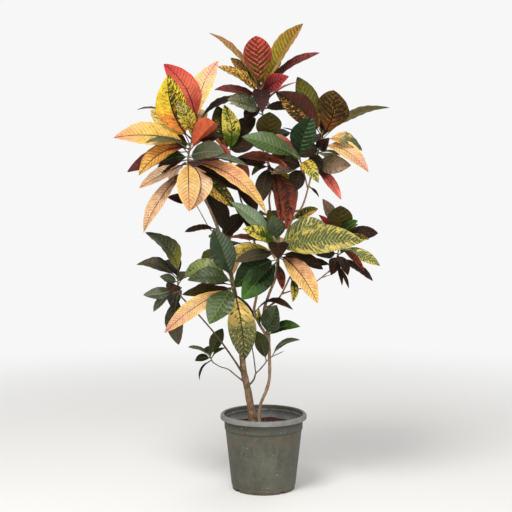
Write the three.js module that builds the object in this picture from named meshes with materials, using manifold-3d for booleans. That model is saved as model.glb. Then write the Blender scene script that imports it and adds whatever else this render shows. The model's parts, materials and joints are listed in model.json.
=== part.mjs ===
// Potted croton: a shrub of two woody stems with leafy shoots, standing in the soil of a round nursery pot.
// Millimetres, +Z up. The origin is the centre of the pot's underside, and the front of the plant faces -Y.

import * as THREE from 'three';
import { mergeVertices } from 'three/addons/utils/BufferGeometryUtils.js';
import Module from 'manifold-3d';

const wasm = await Module();
wasm.setup();

const CLEARANCE = 0.3; // between pieces that touch
const HOLE_CLEARANCE = 0.42; // round each stem in the soil

// Pot: radii and heights of one moulded plastic shell
const RIM_RADIUS = 120;
const POT_HEIGHT = 211;
const LIP_HEIGHT = 13.5;
const LIP_HOLLOW = 7; // depth of the groove under the lip
const LIP_BULGE = 6; // height of the lip's widest ring above its lower edge
const LIP_TOP_WIDTH = 3.5;
const LIP_BEVEL = 4;
const LIP_SLOPE = 7; // of its inner face, across the top's inner edge
const COLLAR_BOTTOM = 169;
const COLLAR_RADIUS = 109.5;
const COLLAR_STEP = 2;
const WALL_TOP_RADIUS = 106.5;
const FOOT_RADIUS = 86.7;
const FOOT_HEIGHT = 11;
const FOOT_DRAFT = 0.5;
const WALL_FOOT_RADIUS = 89;
const WALL = 2.4;
const FLOOR = 3;
const FLOOR_FILLET = 2;
const SOFT_EDGE = 0.8;
const POT_SIDES = 32;

// Drain notches through the lower edge
const DRAIN_ANGLES = [-54, 36, 126, 216]; // degrees from the front, towards +X
const DRAIN_WIDTH = 15;
const DRAIN_HEIGHT = 6.5;
const DRAIN_DEPTH = 12;

// Moulding mark on the front of the wall
const MARK = { angle: 23, height: 58, radius: 2.6, proud: 0.7, length: 2.4, sides: 10 };

// Soil: its surface is a pattern of low bumps
const SOIL_TOP = 175;
const SOIL_BUMP = 2.2;
const SOIL_RINGS = 4;
const SOIL_EDGE = 1; // how far its edge lies below its top
const bumpAt = (x, y) => SOIL_BUMP * Math.sin(x / 13) * Math.cos(y / 17 + x / 29);
const BURIED_END = 118; // height of the lower ends of the stems

// The plant's outline was measured on the upright plane through the pot's axis, seen from EYE. A place is
// written [x, z, y]: its reading on that plane, and its depth behind the plane on the same line of sight.
const EYE = new THREE.Vector3(-21.1, -3500, 966);
const UP = new THREE.Vector3(0, 0, 1);
const FRONT = new THREE.Vector3(0, -1, 0);

// Leaves
const BLADE_THICKNESS = 0.8;
const RIB_THICKNESS = 1.8;
const PETIOLE_WIDTH = 2.8;
const PETIOLE_SHARE = 0.14; // of the leaf's length
const PETIOLE_LONGEST = 26;
const FOLD = 16; // degrees each half of the blade is raised from flat
const EDGE_WAVE = 0.05; // of the leaf's width
const WAVE_COUNT = 1.3; // waves along each edge
const WAVE_SHIFTS = [0, 2]; // radians, for the left and the right edge
const TWIST = 14; // degrees from base to tip, at most
// Places of the rings along a blade, by the width from which they are used
const BLADE_STATIONS = [[72, [0.16, 0.4, 0.64, 0.86]], [50, [0.2, 0.5, 0.8]], [0, [0.3, 0.72]]];
// Each outline's place of the widest part, and its fullness
const OUTLINES = { oval: [1, 0.8], round: [1.5, 0.7], lance: [0.85, 1] };

const LEAF_COLOURS = {
  gold: 0xf0c878,
  peach: 0xf4b888,
  yellow: 0xe0b838,
  orange: 0xd8703a,
  coral: 0xe05a4a,
  crimson: 0x7a3030,
  olive: 0x6a601c,
  maroon: 0x6a2e34,
  purple: 0x2e1a22,
  gloss: 0x66786a,
  green: 0x26461e,
  bright: 0x34701c,
  sage: 0x84a07e,
  variegated: 0x8a9450,
  brown: 0x3a2418,
};

// A limb's route is a list of [x, z, y, thickness]. A leaf is [kind, place along its limb (0 to 1), tip,
// width, turn, bow, form]: turn is how far its upper face is turned from its shoot's axis (0) to the front
// (90 degrees), bow how far its midrib arches towards that face, as a share of its length. A form may give
// the blade's outline, fold, petiole, and sway, which is the midrib's sideways arch.
const MAIN_STEM = {
  name: 'main_stem',
  sides: 8,
  limbs: {
    trunk: {
      route: [
        [-30, BURIED_END, 0, 20], [-29, 172, 0, 29], [-32, 206, 0, 24], [-38, 240, 0, 20], [-44, 278, 0, 19],
        [-50, 302, 0, 19], [-56, 334, 0, 18], [-62, 420, -3, 16], [-70, 480, -5, 14.5], [-81, 552, -5, 13],
        [-100, 640, 0, 11], [-126, 725, -5, 9], [-150, 783, -16, 7.4], [-163, 812, -22, 6.6],
      ],
      leaves: [
        ['maroon', 0.845, [-217, 715, -10], 30, 25, 0.07],
        ['gloss', 0.79, [-86, 757, 30], 36, 60, 0.06],
        ['brown', 0.82, [-50, 762, -4], 52, 60, 0.06],
      ],
    },
    left: {
      route: [
        [-58, 322, -2, 7.5], [-80, 357, -10, 5.6], [-119, 413, -16, 5.2], [-164, 468, -18, 5],
        [-205, 513, -10, 5],
        [-222, 530, -2, 5],
      ],
      leaves: [],
    },
    lowLeft: {
      route: [
        [-54, 298, 0, 5.4], [-79, 318, 4, 4.2], [-99, 334, 8, 3.8], [-121, 341, 10, 3.5], [-136, 350, 12, 3.4],
      ],
      leaves: [],
    },
    lowMiddle: {
      route: [
        [-46, 283, 0, 6.6], [-27, 305, -10, 5], [-22, 321, -16, 4.6], [-12, 331, -20, 4.2], [0, 345, -23, 4],
      ],
      leaves: [],
    },
    lowUpright: { route: [[-22, 322, -16, 4.4], [-27, 365, -17, 4], [-38, 428, -18, 3]], leaves: [] },
    spur: {
      route: [[-119, 706, -4, 5], [-147, 722, 0, 3.8], [-160, 744, 3, 3.4], [-186, 792, 8, 3]],
      leaves: [['purple', 1, [-264, 811, 12], 30, 60, 0.06]],
    },
    leftFront: { route: [[-77, 520, -5, 7.5], [-80, 538, -22, 6]], leaves: [] },
    backLeft: { route: [[-92, 604, -2, 7], [-92, 622, 20, 5.6]], leaves: [] },
  },
};

const SECOND_STEM = {
  name: 'second_stem',
  sides: 6,
  limbs: {
    leader: {
      route: [
        [-12, BURIED_END, -18, 9], [-12, 180, -18, 10], [-9, 233, -17, 8.6], [0, 256, -16, 8.6],
        [9, 278, -15, 9.6],
        [15, 300, -14, 8.8], [17, 340, -14, 8.6], [15, 400, -12, 8.6], [14, 430, -12, 8.4], [0, 490, -8, 8.2],
        [12, 535, -6, 8.2], [36, 600, -4, 8], [40, 640, 4, 7.6], [33, 700, 14, 7], [15, 800, 14, 6.4],
        [20, 843, 12, 6], [12, 900, 16, 5.4], [5, 960, 20, 5], [0, 1005, 22, 4.6],
      ],
      leaves: [],
    },
    inner: {
      route: [
        [17, 385, -13, 8], [5, 430, -14, 8], [-13, 462, -10, 8.4], [-26, 495, -6, 8.4], [-20, 537, 0, 8],
        [-14, 600, 12, 7], [-24, 680, 18, 6.4], [-42, 740, 18, 5.6], [-60, 795, 14, 5],
      ],
      leaves: [
        ['green', 0.14, [36, 513, -60], 66, 65, 0.08, { sway: 0.08 }],
        ['bright', 0.1, [101, 453, -60], 36, 50, 0.1, { sway: -0.1 }],
        ['yellow', 0.22, [-14, 508, -34], 14, 60, 0.05],
        ['brown', 0.36, [81, 500, -75], 32, 18, 0.24],
      ],
    },
    right: {
      route: [
        [39, 635, 4, 7], [60, 700, 10, 6.5], [78, 748, 6, 6.2], [101, 777, 2, 6], [113, 805, 0, 5.6],
        [122, 838, 0, 5.2], [127, 858, 6, 5],
      ],
      leaves: [
        ['olive', 0.33, [149, 779, -12], 34, 60, 0.06],
        ['purple', 0.86, [151, 811, -30], 13, 25, 0.05],
      ],
    },
    lowerRight: {
      route: [
        [8, 505, -8, 6.6], [30, 520, -14, 6], [43, 533, -16, 5.6], [70, 585, -18, 5], [74, 594, -18, 4.4],
      ],
      leaves: [['yellow', 0.9, [80, 521, -55], 24, 60, 0.15, { sway: -0.08 }]],
    },
    farRight: {
      route: [
        [48, 543, -17, 5], [82, 554, -14, 4.4], [115, 562, -8, 4.2], [143, 577, -2, 4.2], [176, 603, 4, 4],
      ],
      leaves: [],
    },
    farRightFork: { route: [[156, 587, 1, 3.6], [186, 598, 12, 2.6]], leaves: [] },
    upperRightLow: { route: [[121, 832, 0, 5], [114, 862, -10, 4.4]], leaves: [] },
    front: { route: [[34, 590, -4, 8], [36, 612, -22, 6.4]], leaves: [] },
    centre: { route: [[19, 841, 12, 5.6], [16, 864, -4, 4.6]], leaves: [] },
    back: { route: [[39, 644, 4, 7], [40, 668, 24, 5.6]], leaves: [] },
  },
};

// Each shoot continues the limb of the stem that it is named for.
const SHOOTS = [
  {
    name: 'shoot_upper_left',
    limb: 'trunk',
    route: [[-190, 868, -36, 6], [-206, 905, -42, 5.6], [-200, 950, -40, 5.2], [-182, 1008, -32, 4]],
    leaves: [
      ['gold', 0.72, [-409, 973, -80], 74, 60, 0.14],
      ['yellow', 0.78, [-260, 1142, -75], 88, 80, 0.06, { sway: -0.12 }],
      ['yellow', 0.86, [-235, 1071, -100], 48, 70, 0.1],
      ['coral', 0.97, [-271, 1172, -20], 72, 72, 0.08, { sway: 0.1 }],
      ['peach', 1, [-123, 1180, 10], 60, 70, 0.08, { sway: -0.08 }],
      ['maroon', 0.7, [-344, 1049, 60], 40, 12, 0.2],
      ['yellow', 0.8, [-308, 1046, 0], 60, 75, 0.06],
      ['orange', 0.6, [-133, 1014, -120], 80, -52, 0.05, { fold: 46 }],
      ['gloss', 0.5, [-107, 935, -130], 62, 60, 0.1],
      ['gloss', 0.42, [-41, 894, -80], 34, 30, 0.12],
      ['gloss', 0.62, [-322, 959, -130], 26, 25, 0.14],
      ['gold', 0.65, [-342, 870, -95], 58, 50, 0.26],
      ['green', 0.5, [-276, 908, -100], 38, 50, 0.1],
      ['maroon', 0.6, [-373, 879, 10], 50, -55, 0.12],
      ['peach', 0.4, [-341, 836, -20], 44, 55, 0.04],
      ['peach', 0.32, [-330, 713, -30], 50, 62, 0.13],
      ['gold', 0.45, [-204, 772, -125], 64, 45, 0.12],
      ['peach', 0.42, [-200, 774, -100], 66, 50, 0.1, { sway: -0.22 }],
      ['peach', 0.4, [8, 765, -100], 64, 40, 0.2],
      ['olive', 0.28, [-86, 783, -60], 56, 60, 0.1],
      ['purple', 0.3, [-100, 715, 105], 60, 60, 0.08],
      ['purple', 0.12, [-76, 782, 80], 44, 60, 0.06],
      ['green', 0.55, [-270, 960, 110], 56, 10, 0.1],
      ['gold', 0.7, [-170, 1050, 110], 58, 20, 0.1],
      ['maroon', 0.45, [-160, 850, 110], 56, 0, 0.12],
      ['yellow', 0.9, [-225, 1090, 80], 54, 30, 0.1],
      ['peach', 0.35, [-250, 850, 90], 52, 10, 0.12],
      ['purple', 0.35, [-60, 826, -70], 54, 50, 0.1],
      ['purple', 0.45, [-294, 876, -10], 46, 50, 0.1],
      ['maroon', 0.5, [-92, 868, -30], 50, 40, 0.1],
      ['brown', 0.8, [-122, 976, -40], 50, 60, 0.1],
      ['purple', 0.7, [-266, 966, -30], 50, 60, 0.1],
    ],
  },
  {
    name: 'shoot_top',
    limb: 'leader',
    route: [[-4, 1045, 18, 4.6], [-7, 1080, 12, 4.4], [-9, 1106, 8, 3.6]],
    leaves: [
      ['crimson', 0.95, [-21, 1247, -20], 80, 85, 0.05, { outline: 'round' }],
      ['olive', 0.9, [106, 1280, 30], 64, 55, 0.08, { fold: 30, sway: 0.01 }],
      ['olive', 0.85, [-147, 1255, -10], 48, 26, 0.09],
      ['olive', 0.8, [-90, 1188, 25], 46, 45, 0.06],
      ['yellow', 0.9, [-55, 1204, 50], 42, 60, 0.06],
      ['gold', 0.7, [-125, 1164, -50], 54, 45, 0.08],
      ['maroon', 0.5, [-134, 1102, -60], 38, 42, 0.1],
      ['maroon', 0.8, [152, 1202, 10], 38, 30, 0.1],
      ['crimson', 0.75, [68, 1138, -95], 52, 70, 0.1],
      ['coral', 0.3, [89, 1123, -30], 26, 12, 0.08],
      ['purple', 0.9, [-3, 1041, -85], 50, 45, 0.22],
      ['gloss', 0.1, [-98, 1077, -50], 62, 50, 0.06],
      ['gloss', 0.02, [-94, 1065, 10], 20, 18, 0.04],
      ['maroon', 0.2, [74, 1058, 50], 36, 45, 0.02],
      ['gloss', 0.3, [16, 1066, 70], 34, 60, 0.05],
      ['brown', 0.4, [-174, 1019, 15], 48, 25, 0.2],
      ['olive', 0.8, [40, 1190, 100], 56, 20, 0.1],
      ['maroon', 0.7, [-60, 1150, 105], 52, 10, 0.12],
      ['green', 0.5, [20, 1110, 130], 54, 0, 0.14],
      ['purple', 0.3, [-52, 1018, -10], 44, 50, 0.1],
    ],
  },
  {
    name: 'shoot_inner',
    limb: 'inner',
    route: [[-77, 858, 12, 4.8], [-92, 910, 8, 4.6], [-105, 955, 5, 3.6]],
    leaves: [
      ['green', 0.85, [-126, 1059, 20], 60, 70, 0.06],
      ['yellow', 0.7, [-107, 1062, -10], 52, 70, 0.06, { sway: 0.13 }],
      ['orange', 0.8, [-152, 1008, 0], 34, 60, 0.05],
      ['coral', 0.4, [-121, 958, -45], 24, 15, 0.06],
      ['maroon', 0.6, [66, 893, -100], 42, 25, 0.1],
      ['brown', 0.5, [-48, 824, -5], 44, 55, 0.1],
      ['brown', 0.4, [-142, 882, 30], 46, 60, 0.08],
      ['maroon', 0.85, [-28, 950, -10], 46, 65, 0.1],
      ['olive', 0.03, [-13, 800, 30], 30, 45, 0.06],
      ['brown', 0.55, [-10, 893, 40], 30, 40, 0.08],
      ['green', 0.8, [-100, 1000, 120], 54, 0, 0.1],
      ['purple', 0.5, [-60, 900, 120], 50, 0, 0.12],
      ['brown', 0.3, [-20, 770, -30], 50, 50, 0.12],
      ['maroon', 0.45, [-40, 862, -50], 46, 50, 0.12],
      ['green', 0.9, [-22, 1026, 24], 56, 60, 0.08],
    ],
  },
  {
    name: 'shoot_centre',
    limb: 'centre',
    route: [[14, 900, -16, 4.2], [9, 955, -26, 3.4]],
    leaves: [
      ['olive', 1, [16, 1042, -85], 72, 80, 0.06, { outline: 'round' }],
      ['crimson', 0.1, [45, 742, -75], 40, 60, 0.1, { sway: -0.08 }],
      ['crimson', 0.15, [62, 722, -95], 48, 60, 0.1, { sway: -0.13 }],
      ['olive', 0.08, [84, 778, -45], 32, 60, 0.1, { sway: -0.16 }],
      ['purple', 0.05, [52, 714, -70], 28, 60, 0.08, { sway: -0.2 }],
      ['olive', 0.1, [-33, 870, -45], 28, 30, 0.2],
      ['brown', 0.3, [-50, 903, -40], 40, 50, 0.06],
      ['brown', 0.5, [64, 922, -75], 36, 60, 0.06],
      ['olive', 0.05, [38, 806, -55], 26, 60, 0.1],
      ['green', 0.9, [75, 985, 90], 52, 20, 0.1],
      ['maroon', 0.6, [-75, 945, 90], 50, 0, 0.12],
      ['purple', 0.2, [-10, 792, -62], 46, 60, 0.1],
      ['brown', 0.3, [30, 820, 40], 44, 50, 0.1],
    ],
  },
  {
    name: 'shoot_upper_right',
    limb: 'right',
    route: [[137, 900, 14, 4.8], [150, 940, 18, 4.6], [160, 985, 20, 3.6]],
    leaves: [
      ['olive', 0.9, [32, 1096, -50], 74, 75, 0.06, { sway: 0.06 }],
      ['olive', 0.95, [91, 1137, 20], 64, 72, 0.08, { sway: -0.03 }],
      ['brown', 0.9, [190, 1101, -40], 94, 85, 0.05, { outline: 'round', sway: 0.1 }],
      ['olive', 0.8, [342, 1054, 20], 44, -25, 0.12],
      ['gold', 0.72, [269, 937, -45], 50, 48, 0.26, { petiole: 0.3 }],
      ['peach', 0.6, [286, 879, -80], 52, 42, 0.22],
      ['olive', 0.25, [238, 897, -60], 56, 70, 0.06, { sway: 0.08 }],
      ['coral', 0.15, [212, 804, -30], 32, 60, 0.08],
      ['purple', 0.55, [178, 972, -75], 36, 70, 0.08],
      ['olive', 0.45, [208, 924, -60], 20, 30, 0.1],
      ['green', 0.75, [52, 1000, 30], 22, 20, 0.04],
      ['green', 0.8, [200, 1030, 110], 56, 10, 0.1],
      ['maroon', 0.6, [120, 980, 120], 54, 0, 0.1],
      ['olive', 0.45, [190, 900, 100], 52, 0, 0.12],
      ['crimson', 0.95, [130, 1070, 90], 52, 20, 0.1],
      ['purple', 0.5, [132, 868, -40], 44, 60, 0.1],
      ['brown', 0.4, [170, 858, -10], 46, 60, 0.1],
      ['purple', 0.7, [92, 922, -30], 50, 60, 0.06],
    ],
  },
  {
    name: 'shoot_upper_right_low',
    limb: 'upperRightLow',
    route: [[106, 890, -22, 4.2], [98, 918, -32, 3.4]],
    leaves: [
      ['green', 0.9, [132, 1030, -95], 74, 75, 0.06, { sway: -0.05 }],
      ['green', 0.95, [-59, 975, -110], 58, 62, 0.1],
      ['coral', 0.8, [18, 983, -30], 42, 80, 0.06],
      ['gloss', 0.4, [20, 874, -75], 34, 60, 0.06],
      ['gloss', 0.7, [68, 946, -50], 26, 60, 0.05],
      ['purple', 0.02, [60, 862, 10], 24, 28, 0.04],
      ['yellow', 0.6, [150, 850, -90], 40, 55, 0.3],
      ['coral', 0.5, [112, 874, -70], 16, 60, 0.1],
      ['olive', 0.8, [70, 960, 80], 48, 10, 0.1],
      ['purple', 0.3, [84, 826, -40], 44, 60, 0.1],
      ['maroon', 0.3, [48, 912, -50], 42, 60, 0.1],
    ],
  },
  {
    name: 'shoot_front',
    limb: 'front',
    route: [[38, 640, -38, 6], [41, 690, -50, 4.4]],
    leaves: [
      ['sage', 0.95, [-90, 797, -90], 46, 55, 0.05],
      ['green', 1, [25, 760, -60], 52, 78, 0.06],
      ['variegated', 0.8, [168, 738, -40], 66, 60, 0.16],
      ['variegated', 0.6, [272, 689, -150], 86, 56, 0.14],
      ['gold', 0.45, [149, 518, -135], 62, 58, 0.16, { sway: -0.03 }],
      ['brown', 0.95, [41, 640, -135], 62, 0, 0.1, { fold: 28 }],
      ['maroon', 0.8, [-99, 699, -75], 36, 20, 0.06],
      ['yellow', 0.85, [-57, 724, -110], 46, 50, 0.06],
      ['gold', 0.6, [-108, 645, -20], 62, 60, 0.05],
      ['gloss', 0.5, [-78, 633, -100], 40, 50, 0.08],
      ['green', 0.2, [-80, 562, -90], 70, 50, 0.2],
      ['bright', 0.1, [-60, 528, -120], 76, 64, 0.1],
      ['purple', 0.35, [124, 590, -40], 44, 60, 0.08],
      ['brown', 0.15, [0, 566, -40], 34, 60, 0.1],
      ['maroon', 0.1, [52, 556, -50], 26, 50, 0.08],
      ['purple', 1, [-32, 776, -30], 26, 30, 0.06],
      ['olive', 1, [12, 776, -20], 34, 60, 0.06],
      ['brown', 0.5, [164, 612, -50], 48, 50, 0.1],
      ['maroon', 0.4, [118, 604, -16], 42, 50, 0.1],
      ['green', 0.7, [-80, 786, -48], 56, 60, 0.06],
    ],
  },
  {
    name: 'shoot_left_front',
    limb: 'leftFront',
    route: [[-83, 560, -34, 5.6], [-85, 585, -38, 4.2]],
    leaves: [
      ['green', 0.9, [-137, 725, -60], 70, 78, 0.04],
      ['bright', 0.7, [-220, 591, -10], 62, 45, 0.36],
      ['green', 0.6, [-210, 582, -85], 50, 52, 0.24],
      ['green', 0.4, [-150, 460, -110], 74, 72, 0.08],
      ['gold', 0.15, [-53, 360, -95], 80, 70, 0.06, { sway: -0.03 }],
      ['gold', 0.3, [-274, 436, -70], 50, 62, 0.16],
      ['olive', 0.3, [-225, 542, 0], 34, 45, 0.02],
      ['maroon', 0.1, [-150, 552, 20], 22, 50, 0.05],
      ['maroon', 0.5, [-193, 560, 10], 26, 28, 0.1],
      ['green', 0.2, [-36, 420, -30], 50, 60, 0.1],
    ],
  },
  {
    name: 'shoot_left',
    limb: 'left',
    route: [[-235, 556, -4, 4.8], [-236, 590, -4, 3.6]],
    leaves: [
      ['green', 0.95, [-325, 714, -30], 64, 52, 0.24, { sway: 0.03 }],
      ['maroon', 0.85, [-350, 625, 10], 42, 55, 0.16, { sway: 0.1 }],
      ['gloss', 0.7, [-286, 592, -60], 28, 60, 0.05],
      ['purple', 0.5, [-257, 548, -75], 46, 30, 0.1, { outline: 'round' }],
      ['gloss', 0.4, [-332, 541, -30], 38, 50, 0.02, { sway: -0.1 }],
      ['gloss', 0.15, [-304, 494, -20], 30, 35, 0.14],
      ['coral', 0.8, [-183, 597, -20], 16, 25, 0.05],
      ['brown', 0.1, [-235, 402, -10], 56, 75, 0.05, { sway: 0.06 }],
      ['green', 0.1, [-240, 462, 34], 42, 40, 0.1],
      ['green', 0.8, [-260, 640, 100], 50, 10, 0.12],
      ['olive', 0.5, [-190, 600, 110], 48, 0, 0.12],
      ['maroon', 0.3, [-250, 500, 100], 46, 0, 0.12],
    ],
  },
  {
    name: 'shoot_right',
    limb: 'farRight',
    route: [[196, 630, 2, 4.2], [206, 665, 0, 4], [207, 705, -4, 3.4]],
    leaves: [
      ['olive', 1, [210, 787, -45], 70, 82, 0.05, { outline: 'round' }],
      ['gloss', 0.95, [161, 806, 10], 42, 50, 0.06],
      ['crimson', 0.9, [151, 762, -28], 24, 60, 0.06],
      ['brown', 0.95, [314, 712, -10], 44, 68, 0.12],
      ['bright', 0.95, [258, 746, -65], 38, 55, 0.08],
      ['green', 0.75, [289, 695, -50], 36, 45, 0.1],
      ['variegated', 0.6, [320, 622, -60], 38, 62, 0.14],
      ['orange', 0.6, [277, 605, -85], 22, 22, 0.12],
      ['purple', 0.35, [301, 580, -10], 34, 40, 0.05],
      ['brown', 0.4, [232, 595, -80], 32, 40, 0.1],
      ['brown', 0.35, [186, 596, -80], 38, 40, 0.1],
      ['maroon', 0.2, [216, 567, -20], 14, 40, 0.08],
      ['maroon', 0.15, [235, 559, -30], 14, 40, 0.08],
      ['purple', 0.45, [136, 657, -30], 46, 60, 0.06],
      ['maroon', 0.02, [112, 632, 20], 26, 45, 0.05],
      ['olive', 0.9, [250, 730, 100], 50, 10, 0.12],
      ['green', 0.6, [160, 680, 110], 50, 0, 0.12],
      ['maroon', 0.4, [260, 650, 90], 48, 0, 0.12],
    ],
  },
  {
    name: 'shoot_low_left',
    limb: 'lowLeft',
    route: [[-144, 360, 14, 3.2], [-150, 372, 16, 2.8]],
    leaves: [
      ['olive', 0.8, [-113, 448, 25], 40, 72, 0.08],
      ['gloss', 1, [-209, 396, 10], 24, 25, 0.1],
      ['purple', 0.6, [-190, 357, -20], 26, 45, 0.14],
      ['purple', 0.2, [-178, 303, 0], 13, 35, 0.22],
      ['purple', 0.5, [-105, 393, 40], 14, 30, 0.16],
      ['green', 0.7, [-150, 400, 80], 30, 0, 0.1],
    ],
  },
  {
    name: 'shoot_low_middle',
    limb: 'lowMiddle',
    route: [[9, 357, -26, 3.6], [22, 368, -28, 3], [47, 380, -28, 2.2]],
    leaves: [
      ['olive', 0.08, [-20, 441, -30], 42, 65, 0.06],
      ['gloss', 0.55, [101, 416, -20], 22, 30, 0.24],
    ],
  },
  {
    name: 'shoot_back',
    limb: 'back',
    route: [[42, 700, 44, 5], [42, 740, 60, 3.8]],
    leaves: [
      ['green', 0.9, [-10, 760, 150], 56, 0, 0.1],
      ['olive', 0.8, [95, 770, 150], 54, 0, 0.1],
      ['variegated', 0.6, [120, 700, 150], 60, 0, 0.12],
      ['maroon', 0.5, [-40, 690, 150], 54, 0, 0.12],
      ['gold', 0.3, [30, 640, 160], 56, 0, 0.12],
      ['green', 1, [45, 775, 130], 50, 0, 0.08],
    ],
  },
  {
    name: 'shoot_back_left',
    limb: 'backLeft',
    route: [[-90, 650, 42, 5], [-88, 685, 56, 3.8]],
    leaves: [
      ['green', 0.9, [-150, 700, 130], 52, 0, 0.1],
      ['olive', 0.6, [-170, 620, 140], 52, 0, 0.12],
      ['gold', 0.4, [-90, 590, 150], 54, 0, 0.12],
      ['purple', 0.8, [-40, 670, 140], 50, 0, 0.1],
    ],
  },
];

const SHOOT_SIDES = 4;
const SHOOT_LEAD = 4; // how far a shoot runs straight on from its limb
const RINGS_PER_POINT = 1;
const FIRST_ROOT = 1.7; // the lowest leaf's place on a shoot, in points of its route

const radians = THREE.MathUtils.degToRad;

// A reading on the measuring plane, moved along its line of sight to its own depth.
function place([x, z, y]) {
  return new THREE.Vector3(x, 0, z).sub(EYE).multiplyScalar(1 - y / EYE.y).add(EYE);
}

// A repeatable number from 0 to 1 for each leaf.
function chance(seed) {
  const value = Math.sin(seed * 12.9898) * 43758.5453;
  return value - Math.floor(value);
}

function solidFrom(points, faces) {
  const vertProperties = new Float32Array(points.flatMap((point) => point.toArray()));
  const triVerts = new Uint32Array(faces.flat());
  return new wasm.Manifold(new wasm.Mesh({ numProp: 3, vertProperties, triVerts }));
}

function solidOf(geometry) {
  const bare = geometry.clone();
  bare.deleteAttribute('normal');
  bare.deleteAttribute('uv');
  const merged = mergeVertices(bare, 1e-4);
  const mesh = { numProp: 3, vertProperties: merged.attributes.position.array, triVerts: merged.index.array };
  return new wasm.Manifold(new wasm.Mesh(mesh));
}

// The largest outer body of a solid: hollows that a join sealed, and loose scraps, are left out.
function soundBody(solid) {
  const bodies = solid.decompose();
  return bodies.reduce((best, body) => (body.volume() > best.volume() ? body : best));
}

function geometryOf(solid) {
  const { numProp, vertProperties, triVerts } = solid.getMesh();
  const positions = new Float32Array((vertProperties.length / numProp) * 3);
  for (let i = 0; i * numProp < vertProperties.length; i += 1) {
    positions.set(vertProperties.subarray(i * numProp, i * numProp + 3), i * 3);
  }
  const geometry = new THREE.BufferGeometry();
  geometry.setAttribute('position', new THREE.BufferAttribute(positions, 3));
  geometry.setIndex(new THREE.BufferAttribute(new Uint32Array(triVerts), 1));
  geometry.computeVertexNormals();
  return geometry;
}

// Faces between equal rings of `count` points. The strips in `crossed` are split along their other diagonal.
function wallFaces(rings, count, crossed = []) {
  const faces = [];
  for (let ring = 0; ring < rings - 1; ring += 1) {
    for (let side = 0; side < count; side += 1) {
      const next = (side + 1) % count;
      const [a, b] = [ring * count + side, ring * count + next];
      const [c, d] = [b + count, a + count];
      if (crossed.includes(side)) faces.push([a, b, d], [b, c, d]);
      else faces.push([a, b, c], [a, c, d]);
    }
  }
  return faces;
}

function tubeFaces(rings, count) {
  const last = (rings - 1) * count;
  const faces = wallFaces(rings, count);
  for (let side = 1; side < count - 1; side += 1) {
    faces.push([0, side + 1, side], [last, last + side, last + side + 1]);
  }
  return faces;
}

// Faces of a leaf: a three-sided petiole of two rings, a neck to the blade's rings of six points, and the
// tip. The blade's strips are split alike on its two faces, which keeps them apart where it is curved.
function leafFaces(rings) {
  const petiole = [[0, 2, 1], ...wallFaces(2, 3)];
  const leftNeck = [[3, 4, 7], [3, 7, 6], [3, 6, 11], [5, 3, 11], [5, 11, 10]];
  const rightNeck = [[4, 8, 7], [4, 9, 8], [4, 10, 9], [4, 5, 10]];
  const blade = wallFaces(rings, 6, [1, 4]).map((face) => face.map((index) => index + 6));
  const last = rings * 6;
  const tip = [0, 1, 2, 3, 4, 5].map((side) => [last + side, last + ((side + 1) % 6), last + 6]);
  return [...petiole, ...leftNeck, ...rightNeck, ...blade, ...tip];
}

// A limb as a smooth curve with its thickness along it.
class Limb {
  constructor(route) {
    this.curve = new THREE.CatmullRomCurve3(route.map(place), false, 'centripetal');
    this.thickness = route.map((point) => point[3]);
    this.firstRoot = 0;
  }

  // The share of the whole limb at a leaf's place
  rootShare(at) {
    return THREE.MathUtils.lerp(this.firstRoot, 1, at);
  }

  radiusAt(share) {
    const spot = share * (this.thickness.length - 1);
    const index = Math.min(Math.floor(spot), this.thickness.length - 2);
    return THREE.MathUtils.lerp(this.thickness[index], this.thickness[index + 1], spot - index) / 2;
  }

  solid(sides, extra = 0) {
    const rings = Math.max(3, Math.round(this.thickness.length * RINGS_PER_POINT));
    const points = [];
    let across = FRONT.clone();
    for (let ring = 0; ring < rings; ring += 1) {
      const share = ring / (rings - 1);
      const along = this.curve.getTangent(share);
      across = across.addScaledVector(along, -across.dot(along)).normalize();
      const beside = along.clone().cross(across);
      const centre = this.curve.getPoint(share);
      if (extra > 0 && ring === 0) centre.addScaledVector(along, -extra);
      const radius = this.radiusAt(share) + extra;
      for (let side = 0; side < sides; side += 1) {
        const angle = (2 * Math.PI * side) / sides;
        const spoke = across.clone().multiplyScalar(Math.cos(angle) * radius);
        points.push(spoke.addScaledVector(beside, Math.sin(angle) * radius).add(centre));
      }
    }
    return solidFrom(points, tubeFaces(rings, sides));
  }
}

// The half-width of a blade at a place along it, from 0 at its base to 1 at its tip.
function halfWidth(share, width, [skew, fullness]) {
  return (width / 2) * Math.sin(Math.PI * share ** skew) ** fullness;
}

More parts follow.
